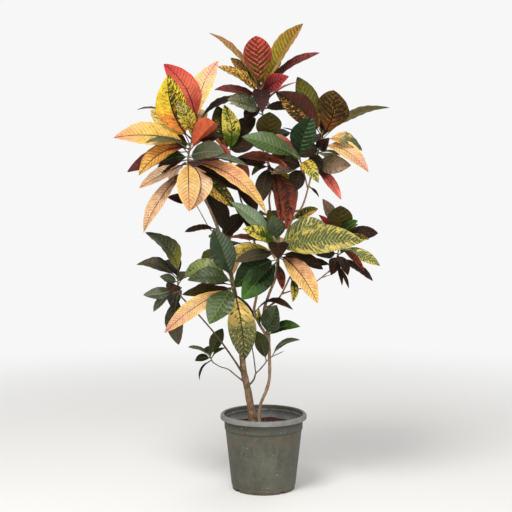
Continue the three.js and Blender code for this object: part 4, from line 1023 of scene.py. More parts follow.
def leaf_pattern() -> NodeTree:
    """Build the group that finds veins, patches and flecks from the places that a blade's mesh carries.

    Returns:
        The group. Its outputs are masks, the station along the blade, a tone for the colour and a height.
    """
    inputs = {"Vein Width": 0.16, "Rib Width": 1.0, "Net": 0.25}
    inputs |= dict.fromkeys(("Blotches", "By Rib", "Flecks", "Sided"), 0.0)
    outputs = ("Station", "Vein", "Midrib", "Blotch", "Fleck", "Edge", "Half", "Under", "Stalk", "Tone", "Height")
    w, given, results = new_group("leaf_pattern", inputs, outputs)
    along, across, phase = w.attribute("blade_mm")
    station, side, seed = w.attribute("blade_share")
    under, stalk, _ = w.attribute("blade_part")
    out, share = w.size(across), w.size(side)
    right = w.math("GREATER_THAN", across, 0.0)
    own = w.times(seed, 37.0)

    cloud = w.minus(w.noise(w.vector(w.times(along, 0.06), w.times(across, 0.06), own), 1.0), 0.5)
    wander = w.minus(w.noise(w.vector(w.times(along, 0.22), w.times(across, 0.22), own), 1.0), 0.5)
    turn = w.add(w.add(phase, w.times(right, 0.5)), w.times(wander, 0.3))
    from_vein = w.times(w.size(w.minus(w.math("FRACT", turn), 0.5)), 2.0)
    width = w.times(given["Vein Width"], w.minus(1.3, w.times(share, 0.7)))
    vein = w.step(from_vein, w.times(width, 1.5), w.times(width, 0.4))
    breaks = w.step(w.noise(w.vector(turn, w.times(out, 0.1), own), 1.7, 3.0), 0.28, 0.5)
    vein = w.times(w.times(vein, breaks), w.step(share, 1.0, 0.86))
    sided = w.times(w.minus(right, 0.5), given["Sided"])
    vein = w.times(vein, w.math("MINIMUM", w.add(1.0, w.times(sided, 2.0)), 1.0))

    lane = w.vector(w.times(turn, 1.25), w.times(out, 0.05), w.add(own, w.times(right, 5.0)))
    bias = w.times(w.minus(0.5, share), w.times(given["By Rib"], 0.5))
    lean = w.times(sided, 0.24)
    patches = w.add(w.add(w.noise(lane, 1.3, 4.0, 0.6), bias), lean)
    blotch = w.covered(patches, given["Blotches"], 0.76, 0.07)
    spots = w.noise(w.vector(w.times(turn, 2.6), w.times(out, 0.17), w.add(own, 9.0)), 1.0, 3.0, 0.65)
    fleck = w.covered(w.add(spots, lean), given["Flecks"], 0.74, 0.05)

    reach = w.times(given["Rib Width"], w.minus(1.7, w.times(station, 1.2)))
    rib = w.step(out, reach, w.times(reach, 0.45))
    net = w.node("ShaderNodeTexVoronoi", feature="DISTANCE_TO_EDGE")
    w.put(net, Vector=w.vector(w.times(turn, 3.4), w.times(out, 0.4), own))
    threads = w.step(net.outputs["Distance"], 0.14, 0.0)
    between = w.times(w.step(from_vein, 0.0, 0.9), w.step(share, 1.0, 0.75))
    height = w.minus(w.add(w.times(between, 0.8), w.times(threads, -0.2)), w.times(rib, 0.5))
    own_tone = w.times(w.math("FRACT", w.times(seed, 7.3)), 0.14)
    tone = w.minus(w.add(w.add(0.9, own_tone), w.times(cloud, 0.7)), w.times(threads, given["Net"]))
    margin, half = w.step(share, 0.7, 1.0), w.step(w.add(side, w.times(wander, 0.2)), 0.0, 0.14)
    station = w.add(station, w.times(cloud, 0.35))
    w.fill(results, (station, vein, rib, blotch, fleck, margin, half, under, stalk, tone, height))
    return w.tree


def bark_grain() -> NodeTree:
    """Build the group for bark: fine upright streaks, pale patches, dark scars and the relief that they make.

    Returns:
        The group.
    """
    w, given, results = new_group("bark_grain", {"Streaks": 1.0}, ("Streak", "Pale", "Scar", "Height"))
    spot = w.spot()
    parts = w.apart(spot)
    streak = w.noise(w.stretched(parts, 900.0, 110.0), 0.6, 4.0, 0.6)
    pale = w.step(w.noise(spot, 70.0, 3.0), 0.46, 0.66)
    scar = w.step(w.noise(w.stretched(parts, 60.0, 420.0), 0.5), 0.62, 0.7)
    relief = w.add(w.times(w.times(streak, given["Streaks"]), 0.8), w.times(scar, 0.5))
    w.fill(results, (streak, pale, scar, relief))
    return w.tree


def wear_and_shade_marks() -> NodeTree:
    """Build the group for used plastic: dust, stains, scuffs, specks and wear at the foot, and painted shade under
    the lip and along the collar's step.

    Returns:
        The group. Its inputs are heights in metres.
    """
    inputs = {"Lip": 0.198, "Groove": 0.17, "Foot": 0.011}
    outputs = ("Scuff", "Dust", "Stain", "Speck", "Painted Shade", "Worn", "Height")
    w, given, results = new_group("wear_and_shade_marks", inputs, outputs)
    spot = w.spot()
    parts = w.apart(spot)
    height = parts[2]
    scuff = w.step(w.noise(w.stretched(parts, 150.0, 16.0), 0.7, 5.0, 0.75), 0.5, 0.8)
    dust = w.step(w.noise(spot, 17.0, 8.0, 0.78), 0.36, 0.68)
    high_up = w.times(w.step(height, 0.115, 0.15), w.step(height, 0.172, 0.16))
    blots = w.step(w.noise(w.stretched(parts, 22.0, 42.0), 1.0, 5.0, 0.65), 0.46, 0.62)
    stain = w.times(blots, w.add(0.25, high_up))
    cell = w.put(w.node("ShaderNodeTexVoronoi", feature="F1"), Vector=spot, Scale=130.0)
    speck = w.math("LESS_THAN", cell.outputs["Distance"], w.minus(w.noise(spot, 40.0), 0.47))
    wobble = w.times(w.minus(w.noise(spot, 60.0, 3.0), 0.5), 0.008)
    level = w.add(height, wobble)
    # Painted shade: darkest just under the lip and fading out 22 mm below it, and a thin dark line along the
    # collar's step.
    above = w.minus(given["Lip"], level)
    below_lip = w.times(w.step(above, 0.022, 0.0), w.math("GREATER_THAN", above, 0.0))
    at_groove = w.size(w.minus(w.add(height, w.times(wobble, 0.15)), given["Groove"]))
    painted_shade = w.math("MAXIMUM", below_lip, w.step(at_groove, 0.0022, 0.0006))
    worn = w.step(w.size(w.minus(level, given["Foot"])), 0.005, 0.0)
    grain = w.noise(spot, 900.0, 3.0)
    relief = w.add(w.times(grain, 0.4), w.add(w.times(dust, 0.3), w.times(speck, 0.5)))
    w.fill(results, (scuff, dust, stain, speck, painted_shade, worn, relief))
    return w.tree


class Finishes:
    """Makes each material once and hands it to every piece that wears it."""

    COAT_ROUGHNESS = 0.36
    WOOD_ROUGHNESS = 0.75
    EARTH_ROUGHNESS = 0.92

    def __init__(self) -> None:
        """Build the shared groups."""
        self.leaf_group, self.bark_group, self.wear_and_shade_group = leaf_pattern(), bark_grain(), wear_and_shade_marks()

    def start(self, name: str, **values: object) -> tuple[Material, Wiring, Node]:
        """Start a material with a lone Principled node.

        Args:
            name: the material's name.
            values: what is the same all over it.

        Returns:
            The material, its wiring and the node.
        """
        material = bpy.data.materials.new(name)
        material.use_nodes = True
        w = Wiring(material.node_tree)
        return material, w, w.put(material.node_tree.nodes["Principled BSDF"], **values)

    def relief(self, w: Wiring, height: object, strength: float, distance: float) -> NodeSocket:
        """Return the normal that a height makes."""
        bump = w.put(w.node("ShaderNodeBump"), Strength=strength, Distance=distance, Height=height)
        return bump.outputs["Normal"]

    @cache
    def leaf(self, look: Look) -> Material:
        """Make the material of one kind of leaf.

        Args:
            look: the kind.

        Returns:
            The material.
        """
        finish = look.value
        (blotch, blotches), (fleck, flecks), (half, halving), (edge, edging) = (
            finish.blotch, finish.fleck, finish.half, finish.edge,
        )
        material, w, shader = self.start(
            f"leaf_{look.name.lower()}", Roughness=finish.roughness, Specular_IOR_Level=finish.gloss,
            Coat_Weight=finish.coat, Coat_Roughness=self.COAT_ROUGHNESS,
        )
        marks = w.group(
            self.leaf_group, Vein_Width=finish.vein_width, Rib_Width=finish.rib_width, Blotches=blotches,
            By_Rib=finish.by_rib, Flecks=flecks, Sided=finish.sided, Net=finish.net,
        )
        colour = w.layers(
            w.ramp(marks["Station"], (finish.base_until, finish.base), (0.5, finish.middle), (0.95, finish.tip)),
            (marks["Half"], halving, half), (marks["Blotch"], 1.0, blotch), (marks["Edge"], edging, edge),
            (marks["Fleck"], 1.0, fleck), (marks["Vein"], finish.veins, finish.vein),
            (marks["Under"], 0.72, finish.under),
            (w.math("MAXIMUM", marks["Midrib"], marks["Stalk"]), 1.0, finish.midrib),
        )
        shade = w.put(w.node("ShaderNodeHueSaturation"), Value=marks["Tone"], Color=colour)
        normal = self.relief(w, marks["Height"], 0.75, 0.0016)
        w.put(shader, Base_Color=shade.outputs["Color"], Normal=normal)
        return material

    @cache
    def bark(self, name: str, dark: int, light: int, scar: int) -> Material:
        """Make the material of a stem's bark.

        Args:
            name: its name.
            dark: the streaks' colour.
            light: the colour between them.
            scar: the colour of scars, and of thin low limbs, where it is their darker bark with painted shade
                under the crowns.

        Returns:
            The material.
        """
        material, w, shader = self.start(name, Roughness=self.WOOD_ROUGHNESS)
        marks = w.group(self.bark_group, Streaks=1.0)
        bleached = tuple(0.5 * (value + 0.35) for value in rgb(light))
        # Thin low limbs take the scar colour: their own darker bark, with painted shade under the crowns.
        colour = w.layers(
            w.mix(w.step(marks["Streak"], 0.3, 0.7), dark, light),
            (marks["Pale"], 0.35, bleached), (marks["Scar"], 0.6, scar), (w.attribute("twig_shade")[0], 0.55, scar),
        )
        w.put(shader, Base_Color=colour, Normal=self.relief(w, marks["Height"], 0.6, 0.0008))
        return material

    @cache
    def plastic(self) -> Material:
        """Make the pot's scuffed, dusty plastic, with painted shade under the lip and along the collar's step, a
        painted highlight on the lip, and an inside painted paler to make up for its shade.

        Returns:
            The material.
        """
        material, w, shader = self.start("nursery_plastic")
        marks = w.group(self.wear_and_shade_group)
        dust = marks["Dust"]
        inside, lip, _ = w.attribute("pot_part")
        colour = w.layers(
            w.mix(dust, 0x404137, 0x5C5D50),
            (marks["Scuff"], 0.3, 0x7C7A70), (marks["Stain"], 0.5, 0x5E4C36),
            # The inside is painted far paler than the same plastic outside: painted light over the shade inside
            # the pot.
            (w.math("GREATER_THAN", inside, 0.5), 0.8, w.mix(dust, 0x929391, 0xBEBEBA)),
            # Painted shade under the lip and along the collar's step; then the worn foot and the specks.
            (marks["Painted Shade"], 0.75, 0x22201B), (marks["Worn"], 0.6, 0x705E4A), (marks["Speck"], 0.6, 0x9E9886),
            # The lip is painted paler: a painted highlight where the light catches it.
            (lip, 0.9, w.mix(dust, 0x706F6C, 0x908E8B)),
        )
        roughness = w.add(0.55, w.times(dust, 0.25))
        normal = self.relief(w, marks["Height"], 0.35, 0.0005)
        w.put(shader, Base_Color=colour, Roughness=roughness, Normal=normal)
        return material

    def earth(self, name: str, low: int, high: int) -> Material:
        """Make the material of the soil or of its chips.

        Args:
            name: its name.
            low: its dark colour.
            high: its pale colour.

        Returns:
            The material.
        """
        material, w, shader = self.start(name, Roughness=self.EARTH_ROUGHNESS)
        spot = w.spot()
        colour = w.mix(w.step(w.noise(spot, 130.0, 5.0, 0.7), 0.35, 0.65), low, high)
        normal = self.relief(w, w.noise(spot, 420.0, 4.0, 0.7), 0.8, 0.002)
        w.put(shader, Base_Color=colour, Normal=normal)
        return material


def new_piece(name: str, mesh: Mesh, material: Material, node: str) -> Object:
    """Put a finished mesh in the scene, riding on the plant's one body.

    Args:
        name: the piece's name.
        mesh: its mesh.
        material: what it wears.
        node: the node of the solids that it stands for.

    Returns:
        The piece.
    """
    piece = in_scene(bpy.data.objects.new(name, mesh))
    mesh.materials.clear()
    mesh.materials.append(material)
    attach(piece, BODY)
    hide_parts(node)
    return piece


def in_scene(thing: Object) -> Object:
    """Link an object to the scene."""
    bpy.context.scene.collection.objects.link(thing)
    return thing


def mesh_of(name: str, points: Sequence[Sequence[float]], faces: Faces, sharp: float = 60.0) -> Mesh:
    """Make a smooth mesh from points in millimetres.

    Args:
        name: the mesh's name.
        points: its points.
        faces: its faces, as the numbers of their points.
        sharp: degrees between two faces from which their edge stays sharp.

    Returns:
        The mesh, in metres.
    """
    mesh = bpy.data.meshes.new(name)
    mesh.from_pydata([tuple(value * MM for value in point) for point in points], [], faces)
    smoothed(mesh)
    mesh.set_sharp_from_angle(angle=math.radians(sharp))
    return mesh


def smoothed(mesh: Mesh) -> None:
    """Shade a mesh's faces smoothly."""
    mesh.polygons.foreach_set("use_smooth", [True] * len(mesh.polygons))


def carry(mesh: Mesh, name: str, values: Sequence[float]) -> None:
    """Store three values for each point on a mesh."""
    mesh.attributes.new(name, "FLOAT_VECTOR", "POINT").data.foreach_set("vector", values)


def drawn(name: str, shape: bmesh.types.BMesh) -> Mesh:
    """Turn a drawn shape into a mesh, and let go of it.

    Args:
        name: the mesh's name.
        shape: the shape.

    Returns:
        The mesh.
    """
    mesh = bpy.data.meshes.new(name)
    shape.to_mesh(mesh)
    shape.free()
    return mesh


def settled(piece: Object) -> None:
    """Apply all of a piece's modifiers to its mesh.

    Args:
        piece: the piece, which keeps its material.
    """
    graph = bpy.context.evaluated_depsgraph_get()
    material = piece.data.materials[0]
    mesh = bpy.data.meshes.new_from_object(piece.evaluated_get(graph))
    piece.modifiers.clear()
    piece.data = mesh
    mesh.materials.clear()
    mesh.materials.append(material)


def across_to(vector: Vector, along: Vector) -> Vector:
    """Return the part of a vector that stands at right angles to a direction, at length 1."""
    return (vector - along * vector.dot(along)).normalized()


def turned(spot: Vector, angle: float) -> tuple[float, float]:
    """Turn a place round the upright axis, and return its X and Y."""
    cos, sin = math.cos(angle), math.sin(angle)
    return spot.x * cos - spot.y * sin, spot.x * sin + spot.y * cos


def tube_faces(rings: int, sides: int, anticlockwise: bool) -> Faces:
    """Join rings of points into a closed tube whose faces look out.

    Args:
        rings: the number of rings.
        sides: the points of each.
        anticlockwise: whether the points go round anticlockwise, as seen from beyond the last ring.

    Returns:
        The side faces from ring to ring, and the two ends.
    """
    faces = []
    for ring in range(rings - 1):
        for side in range(sides):
            a, b = ring * sides + side, ring * sides + (side + 1) % sides
            faces.append([a, b, b + sides, a + sides] if anticlockwise else [a, a + sides, b + sides, b])
    first, last = list(range(sides)), list(range((rings - 1) * sides, rings * sides))
    return faces + ([first[::-1], last] if anticlockwise else [first, last[::-1]])


class LeafShape:
    """One leaf's fine mesh: a folded, waved and quilted blade with a raised rib below, on its petiole."""

    PETIOLE_SHARE = 0.14
    PETIOLE_LONGEST = 26.0
    TWIST = 14.0
    EDGE_WAVE = 0.05
    WAVE_COUNT = 1.3
    WAVE_SHIFTS = (0.0, 2.0)
    RUFFLE = 0.035
    RUFFLE_COUNT = 5
    CUP = 0.3
    VEIN_SLANT = 0.5
    VEIN_CURVE = 0.32
    QUILT = 1.35
    QUILT_HALF_WIDTH = 30
    GROOVE_DEPTH = -0.5
    GROOVE_WIDTH = 2.2
    ROW_STEP = 3.2
    COLUMN_STEP = 4.6
    FEWEST_ROWS = 12
    COLUMN_CROWDING = 1.25
    THICKNESS = 0.7
    EDGE_THICKNESS = 0.35
    TIP_WIDTH = 0.25
    STALK_SIDES = 7
    STALK_RADIUS = 1.35
    STALK_SWELLING = 5
    RIB_RADIUS = 1.15
    RIB_TIP_RADIUS = 0.2
    RIB_END = 0.97
    SUNK = 0.8
    USUAL_WIDTH = 60

    def __init__(self, limb: Limb, leaf: Leaf, seed: int) -> None:
        """Work out the directions of the blade from its root, its tip and its turn.

        Args:
            limb: the limb that it grows on.
            leaf: its measures.
            seed: its number in the plant.
        """
        self.leaf = leaf
        self.seed = seed
        share = limb.root_share(leaf.at)
        self.root = limb.point(share)
        span = place(leaf.tip) - self.root
        self.length = span.length
        self.along = span.normalized()
        inward = across_to((limb.heading(share) + UP).normalized(), self.along)
        forward = across_to(FRONT, self.along)
        turn = math.radians(leaf.turn)
        self.face = (inward * math.cos(turn) + forward * math.sin(turn)).normalized()
        self.side = self.along.cross(self.face)
        usual = min(self.PETIOLE_SHARE, self.PETIOLE_LONGEST / self.length)
        self.petiole = leaf.petiole if leaf.petiole is not None else usual
        self.twist = math.radians(self.TWIST) * (2 * chance(seed) - 1)
        self.phase = 2 * math.pi * chance(seed + 0.5)
        growth = (leaf.width / self.USUAL_WIDTH) ** 0.4
        self.spacing = leaf.look.value.spacing * growth * (0.92 + 0.16 * chance(seed + 0.25))

    def frames(self, share: np.ndarray) -> tuple[np.ndarray, np.ndarray, np.ndarray]:
        """Follow the midrib.

        Args:
            share: shares of the whole leaf's length.

        Returns:
            The midrib's points, and the directions across the blade and out of its upper face.
        """
        arch = 4 * share * (1 - share) * self.length
        slope = 4 * (1 - 2 * share) * self.leaf.bow
        along, face, side = (np.array(vector) for vector in (self.along, self.face, self.side))
        centre = np.array(self.root) + np.outer(share * self.length, along)
        centre += np.outer(arch * self.leaf.bow, face) + np.outer(arch * self.leaf.sway, side)
        flat = face - np.outer(slope, along)
        flat /= np.linalg.norm(flat, axis=1)[:, None]
        roll = (self.twist * share)[:, None]
        across = side * np.cos(roll) + flat * np.sin(roll)
        normal = flat * np.cos(roll) - side * np.sin(roll)
        return centre, across, normal

    def half_width(self, station: np.ndarray) -> np.ndarray:
        """Find the blade's half-width, which never falls to nothing.

        Args:
            station: shares of the blade's length.

        Returns:
            The half-width at each, in millimetres.
        """
        skew, fullness = self.leaf.outline.value
        half = self.leaf.width / 2 * np.sin(np.pi * station**skew).clip(0) ** fullness
        least = self.STALK_RADIUS * (1 - station) + self.TIP_WIDTH * station
        return np.maximum(half, least)

    def rise(self, station: np.ndarray, side: np.ndarray, half: np.ndarray, vein: np.ndarray) -> np.ndarray:
        """Work out how far the upper face lies above the flat blade.

        Args:
            station: shares of the blade's length.
            side: places from one margin at -1 to the other at 1.
            half: the half-width at each station.
            vein: how many side veins lie before each place.

        Returns:
            The rise in millimetres: the fold, the wavy margin, its fine ruffle, the quilting and the sunk midrib.
        """
        out = np.abs(side)
        shift = np.where(side < 0, *self.WAVE_SHIFTS)
        lift = half * math.sin(math.radians(self.leaf.fold)) * ((1 + self.CUP) * out - self.CUP * out**2)
        wave_turn = 2 * np.pi * self.WAVE_COUNT * station + self.phase
        wave = self.EDGE_WAVE * 2 * half * np.sin(wave_turn + shift) * out**1.5
        ruffles = self.RUFFLE_COUNT + 3 * chance(self.seed + 0.7)
        ruffle = self.RUFFLE * half * np.sin(2 * np.pi * ruffles * station + shift * 2) * out**3
        quilt = self.QUILT * np.cos(2 * np.pi * (vein + 0.5 * (side > 0))) * np.sin(np.pi * out) ** 0.7
        quilt = quilt * (half / self.QUILT_HALF_WIDTH) * np.sin(np.pi * station) ** 0.5
        groove = self.GROOVE_DEPTH * np.exp(-((half * out / self.GROOVE_WIDTH) ** 2))
        return lift + wave + ruffle + quilt + groove

    def blade(self) -> MarkedSkin:
        """Build the blade as a closed skin over two faces.

        Returns:
            Its points, its faces, and the values that each point carries.
        """
        length = self.length * (1 - self.petiole)
        rows = max(self.FEWEST_ROWS, round(length / self.ROW_STEP))
        columns = 2 * max(3, round(self.leaf.width / 2 / self.COLUMN_STEP))
        share = np.linspace(0, 1, rows + 1)
        centre, across, normal = self.frames(self.petiole + (1 - self.petiole) * share)
        half = self.half_width(share)[:, None]
        station = share[:, None]
        column = np.linspace(-1, 1, columns + 1)
        side = np.sign(column) * np.abs(column) ** self.COLUMN_CROWDING
        out = np.abs(side)
        vein = (station * length - half * out * (self.VEIN_SLANT + self.VEIN_CURVE * out)) / self.spacing

        reach = side * half * math.cos(math.radians(self.leaf.fold))
        flat = centre[:, None] + across[:, None] * reach[..., None]
        rise = self.rise(station, side, half, vein)
        thickness = self.THICKNESS + (self.EDGE_THICKNESS - self.THICKNESS) * out**2
        faces = [flat + normal[:, None] * level[..., None] for level in (rise, rise - thickness)]

        blank = np.zeros_like(rise)
        marks = {
            "blade_mm": (station * length + blank, side * half, vein),
            "blade_share": (station + blank, side + blank, blank + chance(self.seed)),
            "blade_part": (blank, blank, blank),
            "uv": (0.01 + 0.45 * ((column + 1) / 2 + blank), 0.01 + 0.98 * (station + blank)),
        }
        upper = {name: np.stack(parts, -1).reshape(-1, len(parts)) for name, parts in marks.items()}
        below = {"blade_part": [1.0, 0.0, 0.0], "uv": [0.48, 0.0]}
        values = {name: np.concatenate([own, own + below.get(name, 0.0)]) for name, own in upper.items()}
        return np.concatenate([face.reshape(-1, 3) for face in faces]), self.blade_faces(rows, columns), values

    @staticmethod
    def blade_faces(rows: int, columns: int) -> Faces:
        """Join two equal grids of points in a closed skin.

        Args:
            rows: the steps along each grid.
            columns: the steps across it.

        Returns:
            The faces.
        """
        wide = columns + 1
        under = (rows + 1) * wide
        faces = []
        for row in range(rows):
            for column in range(columns):
                a = row * wide + column
                b, c, d = a + 1, a + wide + 1, a + wide
                faces.append([a, b, c, d])
                faces.append([under + a, under + d, under + c, under + b])
        for row in range(rows):
            left, right = row * wide, row * wide + columns
            faces.append([left, left + wide, under + left + wide, under + left])
            faces.append([right + wide, right, under + right, under + right + wide])
        last = rows * wide
        for column in range(columns):
            faces.append([column, under + column, under + column + 1, column + 1])
            end = last + column
            faces.append([end + 1, under + end + 1, under + end, end])
        return faces

    def stalk(self) -> MarkedSkin:
        """Build the petiole and the rib below the blade as one tapering closed tube.

        Returns:
            Its points, its faces, and the values that each point carries.
        """
        petiole, sides = self.petiole, self.STALK_SIDES
        under_blade = petiole + (self.RIB_END - petiole) * np.linspace(0.05, 1, 18)
        share = np.concatenate([np.linspace(0, petiole, 7), under_blade])
        centre, across, normal = self.frames(share)
        station = ((share - petiole) / (1 - petiole)).clip(0, 1)
        swelling = 0.5 * np.exp(-share * self.length / self.STALK_SWELLING)
        swelling += 0.25 * np.exp(-(((share - petiole) * self.length / self.STALK_SWELLING) ** 2))
        rib = self.RIB_RADIUS * (1 - station) ** 0.8 + self.RIB_TIP_RADIUS
        radius = np.where(share <= petiole, self.STALK_RADIUS, rib) + swelling
        sunk = np.where(share <= petiole, self.SUNK, self.SUNK * radius)
        angle = np.linspace(0, 2 * np.pi, sides, endpoint=False)
        ring = across[:, None] * np.cos(angle)[None, :, None] + normal[:, None] * np.sin(angle)[None, :, None]
        points = (centre - normal * sunk[:, None])[:, None] + ring * radius[:, None, None]
        station, zero = np.repeat(station, sides), np.zeros(len(share) * sides)
        round_it = np.tile(np.arange(sides) / sides, len(share))
        marks = {
            "blade_mm": (station * self.length, zero, zero),
            "blade_share": (station, zero, zero + chance(self.seed)),
            "blade_part": (zero, zero + 1, zero),
            "uv": (0.955 + 0.035 * round_it, 0.01 + 0.98 * np.repeat(share, sides)),
        }
        values = {name: np.stack(parts, -1) for name, parts in marks.items()}
        return points.reshape(-1, 3), tube_faces(len(share), sides, False), values

    def mesh(self, name: str) -> Mesh:
        """Build the whole leaf, with its values and its map.

        Args:
            name: the mesh's name.

        Returns:
            The mesh.
        """
        blade_points, faces, blade_values = self.blade()
        stalk_points, stalk_faces, stalk_values = self.stalk()
        first = len(blade_points)
        faces += [[index + first for index in face] for face in stalk_faces]
        mesh = mesh_of(name, np.concatenate([blade_points, stalk_points]).tolist(), faces, LEAF_SHARP)
        values = {key: np.concatenate([blade_values[key], stalk_values[key]]) for key in blade_values}
        uv = values.pop("uv")
        for key, given in values.items():
            carry(mesh, key, given.ravel())
        corners = np.zeros(len(mesh.loops), dtype=np.int32)
        mesh.loops.foreach_get("vertex_index", corners)
        mesh.uv_layers.new(name="OFBake").data.foreach_set("uv", uv[corners].ravel())
        return mesh


def tube(limb: Limb, sides: int, step: float, bumps: float, tapered: bool) -> tuple[list[Vector], Faces]:
    """Build a limb as a closed tube with soft knots.

    Args:
        limb: the limb.
        sides: points round it.
        step: millimetres between two rings.
        bumps: how far the bark swells and sinks, as a share of the radius.
        tapered: whether it ends in a closed bud.

    Returns:
        Its points and faces.
    """
    rings = max(6, round(limb.length() / step))
    points = []
    across = FRONT.copy()
    stations = [(ring / (rings - 1), 1.0, 0.0) for ring in range(rings)]
    if tapered:
        stations += [(1.0, shrink, reach) for shrink, reach in BUD]
    for share, shrink, reach in stations:
        heading = limb.heading(share)
        across = across_to(across, heading)
        beside = heading.cross(across)
        centre = limb.point(share) + heading * reach
        for side in range(sides):
            angle = 2 * math.pi * side / sides
            spoke = across * math.cos(angle) + beside * math.sin(angle)
            spot = centre + spoke * limb.radius(share)
            swell = 1 + bumps * noise.noise(Vector((spot.x * 0.09, spot.y * 0.09, spot.z * 0.05)))
            points.append(centre + spoke * limb.radius(share) * shrink * swell)
    return points, tube_faces(len(stations), sides, True)


@dataclass
class Foliage:
    """All the leaves so far, each a piece of its own, numbered in their order."""

    finishes: Finishes
    count: int = 0
    faces: int = 0

    def grow(self, limb: Limb, leaves: Sequence[Leaf], node: str) -> None:
        """Grow the leaves of one limb.

        Args:
            limb: the limb.
            leaves: the leaves that are rooted in it.
            node: the node of the solids that held them.
        """
        for leaf in leaves:
            self.count += 1
            name = f"{node}_leaf_{self.count:03d}"
            mesh = LeafShape(limb, leaf, self.count).mesh(name)
            new_piece(name, mesh, self.finishes.leaf(leaf.look), node)
            self.faces += len(mesh.polygons)
        if leaves:
            LOG.info("%s: %d leaves", node, len(leaves))


@dataclass
class Stem:
    """A woody stem: all its limbs grown together in one skin, and the few leaves rooted in it.

    Lengths are in millimetres. Limbs thinner than twig_radius and lower than shade_height have darker bark: their
    own darker colour, with painted shade under the crowns. The bark's colours are its dark streaks, what lies
    between them, and its scars.
    """

    name: str
    branches: Sequence[Branch]
    slot: str
    bark: tuple[int, int, int]
    voxel: float = 1.3
    sides: int = 18
    ring_step: float = 6.0
    knots: float = 0.12
    bark_depth: float = 0.32
    twig_radius: float = 5.0
    shade_height: float = 620.0
    twig_blend: float = 1.5
    shade_blend: float = 150.0
    limbs: dict[str, Limb] = field(default_factory=dict)

    def build(self, finishes: Finishes, leaves: Foliage) -> None:
        """Grow the wood, then its leaves.

        Args:
            finishes: the materials.
            leaves: the foliage that its leaves join.
        """
        self.limbs = {branch.name: Limb.along(branch.route) for branch in self.branches}
        wood = self.grow_wood(finishes)
        LOG.info("%s: %d limbs, %d faces", self.name, len(self.limbs), len(wood.data.polygons))
        for branch in self.branches:
            leaves.grow(self.limbs[branch.name], branch.leaves, self.name)

    def grow_wood(self, finishes: Finishes) -> Object:
        """Join the limbs in one skin by remeshing them, and roughen it as bark.

        Args:
            finishes: the materials.

        Returns:
            The wood.
        """
        points, faces = [], []
        for limb in self.limbs.values():
            own_points, own_faces = tube(limb, self.sides, self.ring_step, self.knots, False)
            faces += [[index + len(points) for index in face] for face in own_faces]
            points += own_points
        name = f"{self.name}_bark"
        bark = finishes.bark(name, *self.bark)
        wood = new_piece(name, mesh_of(name, points, faces), bark, self.name)
        remesh = wood.modifiers.new("join", "REMESH")
        remesh.mode = "VOXEL"
        remesh.voxel_size = self.voxel * MM
        smooth = wood.modifiers.new("soften", "SMOOTH")
        smooth.factor = 0.5
        smooth.iterations = 4
        settled(wood)
        self.mark_twig_shade(wood.data)
        self.roughen(wood.data)
        return wood

    def mark_twig_shade(self, mesh: Mesh) -> None:
        """Store where the thin limbs low in the plant are, whose bark is darker: their own darker colour, with
        painted shade under the crowns.

        Args:
            mesh: the mesh that carries it.
        """
        spots = []
        for limb in self.limbs.values():
            steps = max(2, int(limb.length() / self.ring_step))
            spots += [(limb.point(step / steps), limb.radius(step / steps)) for step in range(steps + 1)]
        tree = KDTree(len(spots))
        for index, (point, _) in enumerate(spots):
            tree.insert(point, index)
        tree.balance()
        twig_shade_values = []
        for vertex in mesh.vertices:
            point = vertex.co / MM
            thin = (self.twig_radius - spots[tree.find(point)[1]][1]) / self.twig_blend
            # Painted shade: thin limbs grow darker below shade_height, under the crowns.
            low = (self.shade_height - point.z) / self.shade_blend
            twig_shade_values += [min(max(thin, 0.0), 1.0) * min(max(low, 0.0), 1.0), 0.0, 0.0]
        carry(mesh, "twig_shade", twig_shade_values)

    def roughen(self, mesh: Mesh) -> None:
        """Raise fine upright ridges and low rings in the bark.

        Args:
            mesh: the mesh to raise them on.
        """
        normals = [normal.vector.copy() for normal in mesh.vertex_normals]
        places = []
        for vertex, normal in zip(mesh.vertices, normals):
            x, y, z = vertex.co / MM
            ridges = noise.fractal(Vector((x * 0.35, y * 0.35, z * 0.05)), 0.8, 2.0, 3)
            rings = noise.noise(Vector((x * 0.03, y * 0.03, z * 0.3)))
            places.extend(vertex.co + normal * (MM * self.bark_depth * (ridges + 0.7 * rings)))
        mesh.vertices.foreach_set("co", places)
        smoothed(mesh)


@dataclass
class Crown:
    """A leafy shoot: its young wood with a bud at the end, and its leaves."""

    shoot: Shoot
    parent: Limb
    sides: int = 12
    ring_step: float = 2.5
    knots: float = 0.22
    bark: tuple[int, int, int] = (0x4E4628, 0x807048, 0x3C2C1E)

    def build(self, finishes: Finishes, leaves: Foliage) -> None:
        """Grow the shoot's wood, then its leaves.

        Args:
            finishes: the materials.
            leaves: the foliage that its leaves join.
        """
        node, slot = self.shoot.name, self.shoot.slot
        limb = Limb.continuing(self.parent, self.shoot.route)
        mesh = mesh_of(f"{node}_wood", *tube(limb, self.sides, self.ring_step, self.knots, True))
        new_piece(f"{node}_wood", mesh, finishes.bark("shoot_bark", *self.bark), node)
        leaves.grow(limb, self.shoot.leaves, node)


def lathed(profile: Sequence[tuple[float, float]], segments: int) -> tuple[list[Vector], Faces]:
    """Turn a section round the upright axis.

    Args:
        profile: radius and height of each point, from the axis to the axis, anticlockwise.
        segments: points round the axis.

    Returns:
        The points and faces of one closed solid.
    """
    points, faces, rings = [], [], []
    for radius, height in profile:
        if radius == 0.0:
            rings.append([len(points)] * segments)
            points.append(Vector((0.0, 0.0, height)))
            continue
        rings.append(list(range(len(points), len(points) + segments)))
        for segment in range(segments):
            angle = 2 * math.pi * segment / segments
            points.append(Vector((radius * math.cos(angle), radius * math.sin(angle), height)))
    for lower, upper in zip(rings, rings[1:]):
        for segment in range(segments):
            after = (segment + 1) % segments
            face = dict.fromkeys((lower[segment], lower[after], upper[after], upper[segment]))
            faces.append(list(face))
    return points, faces


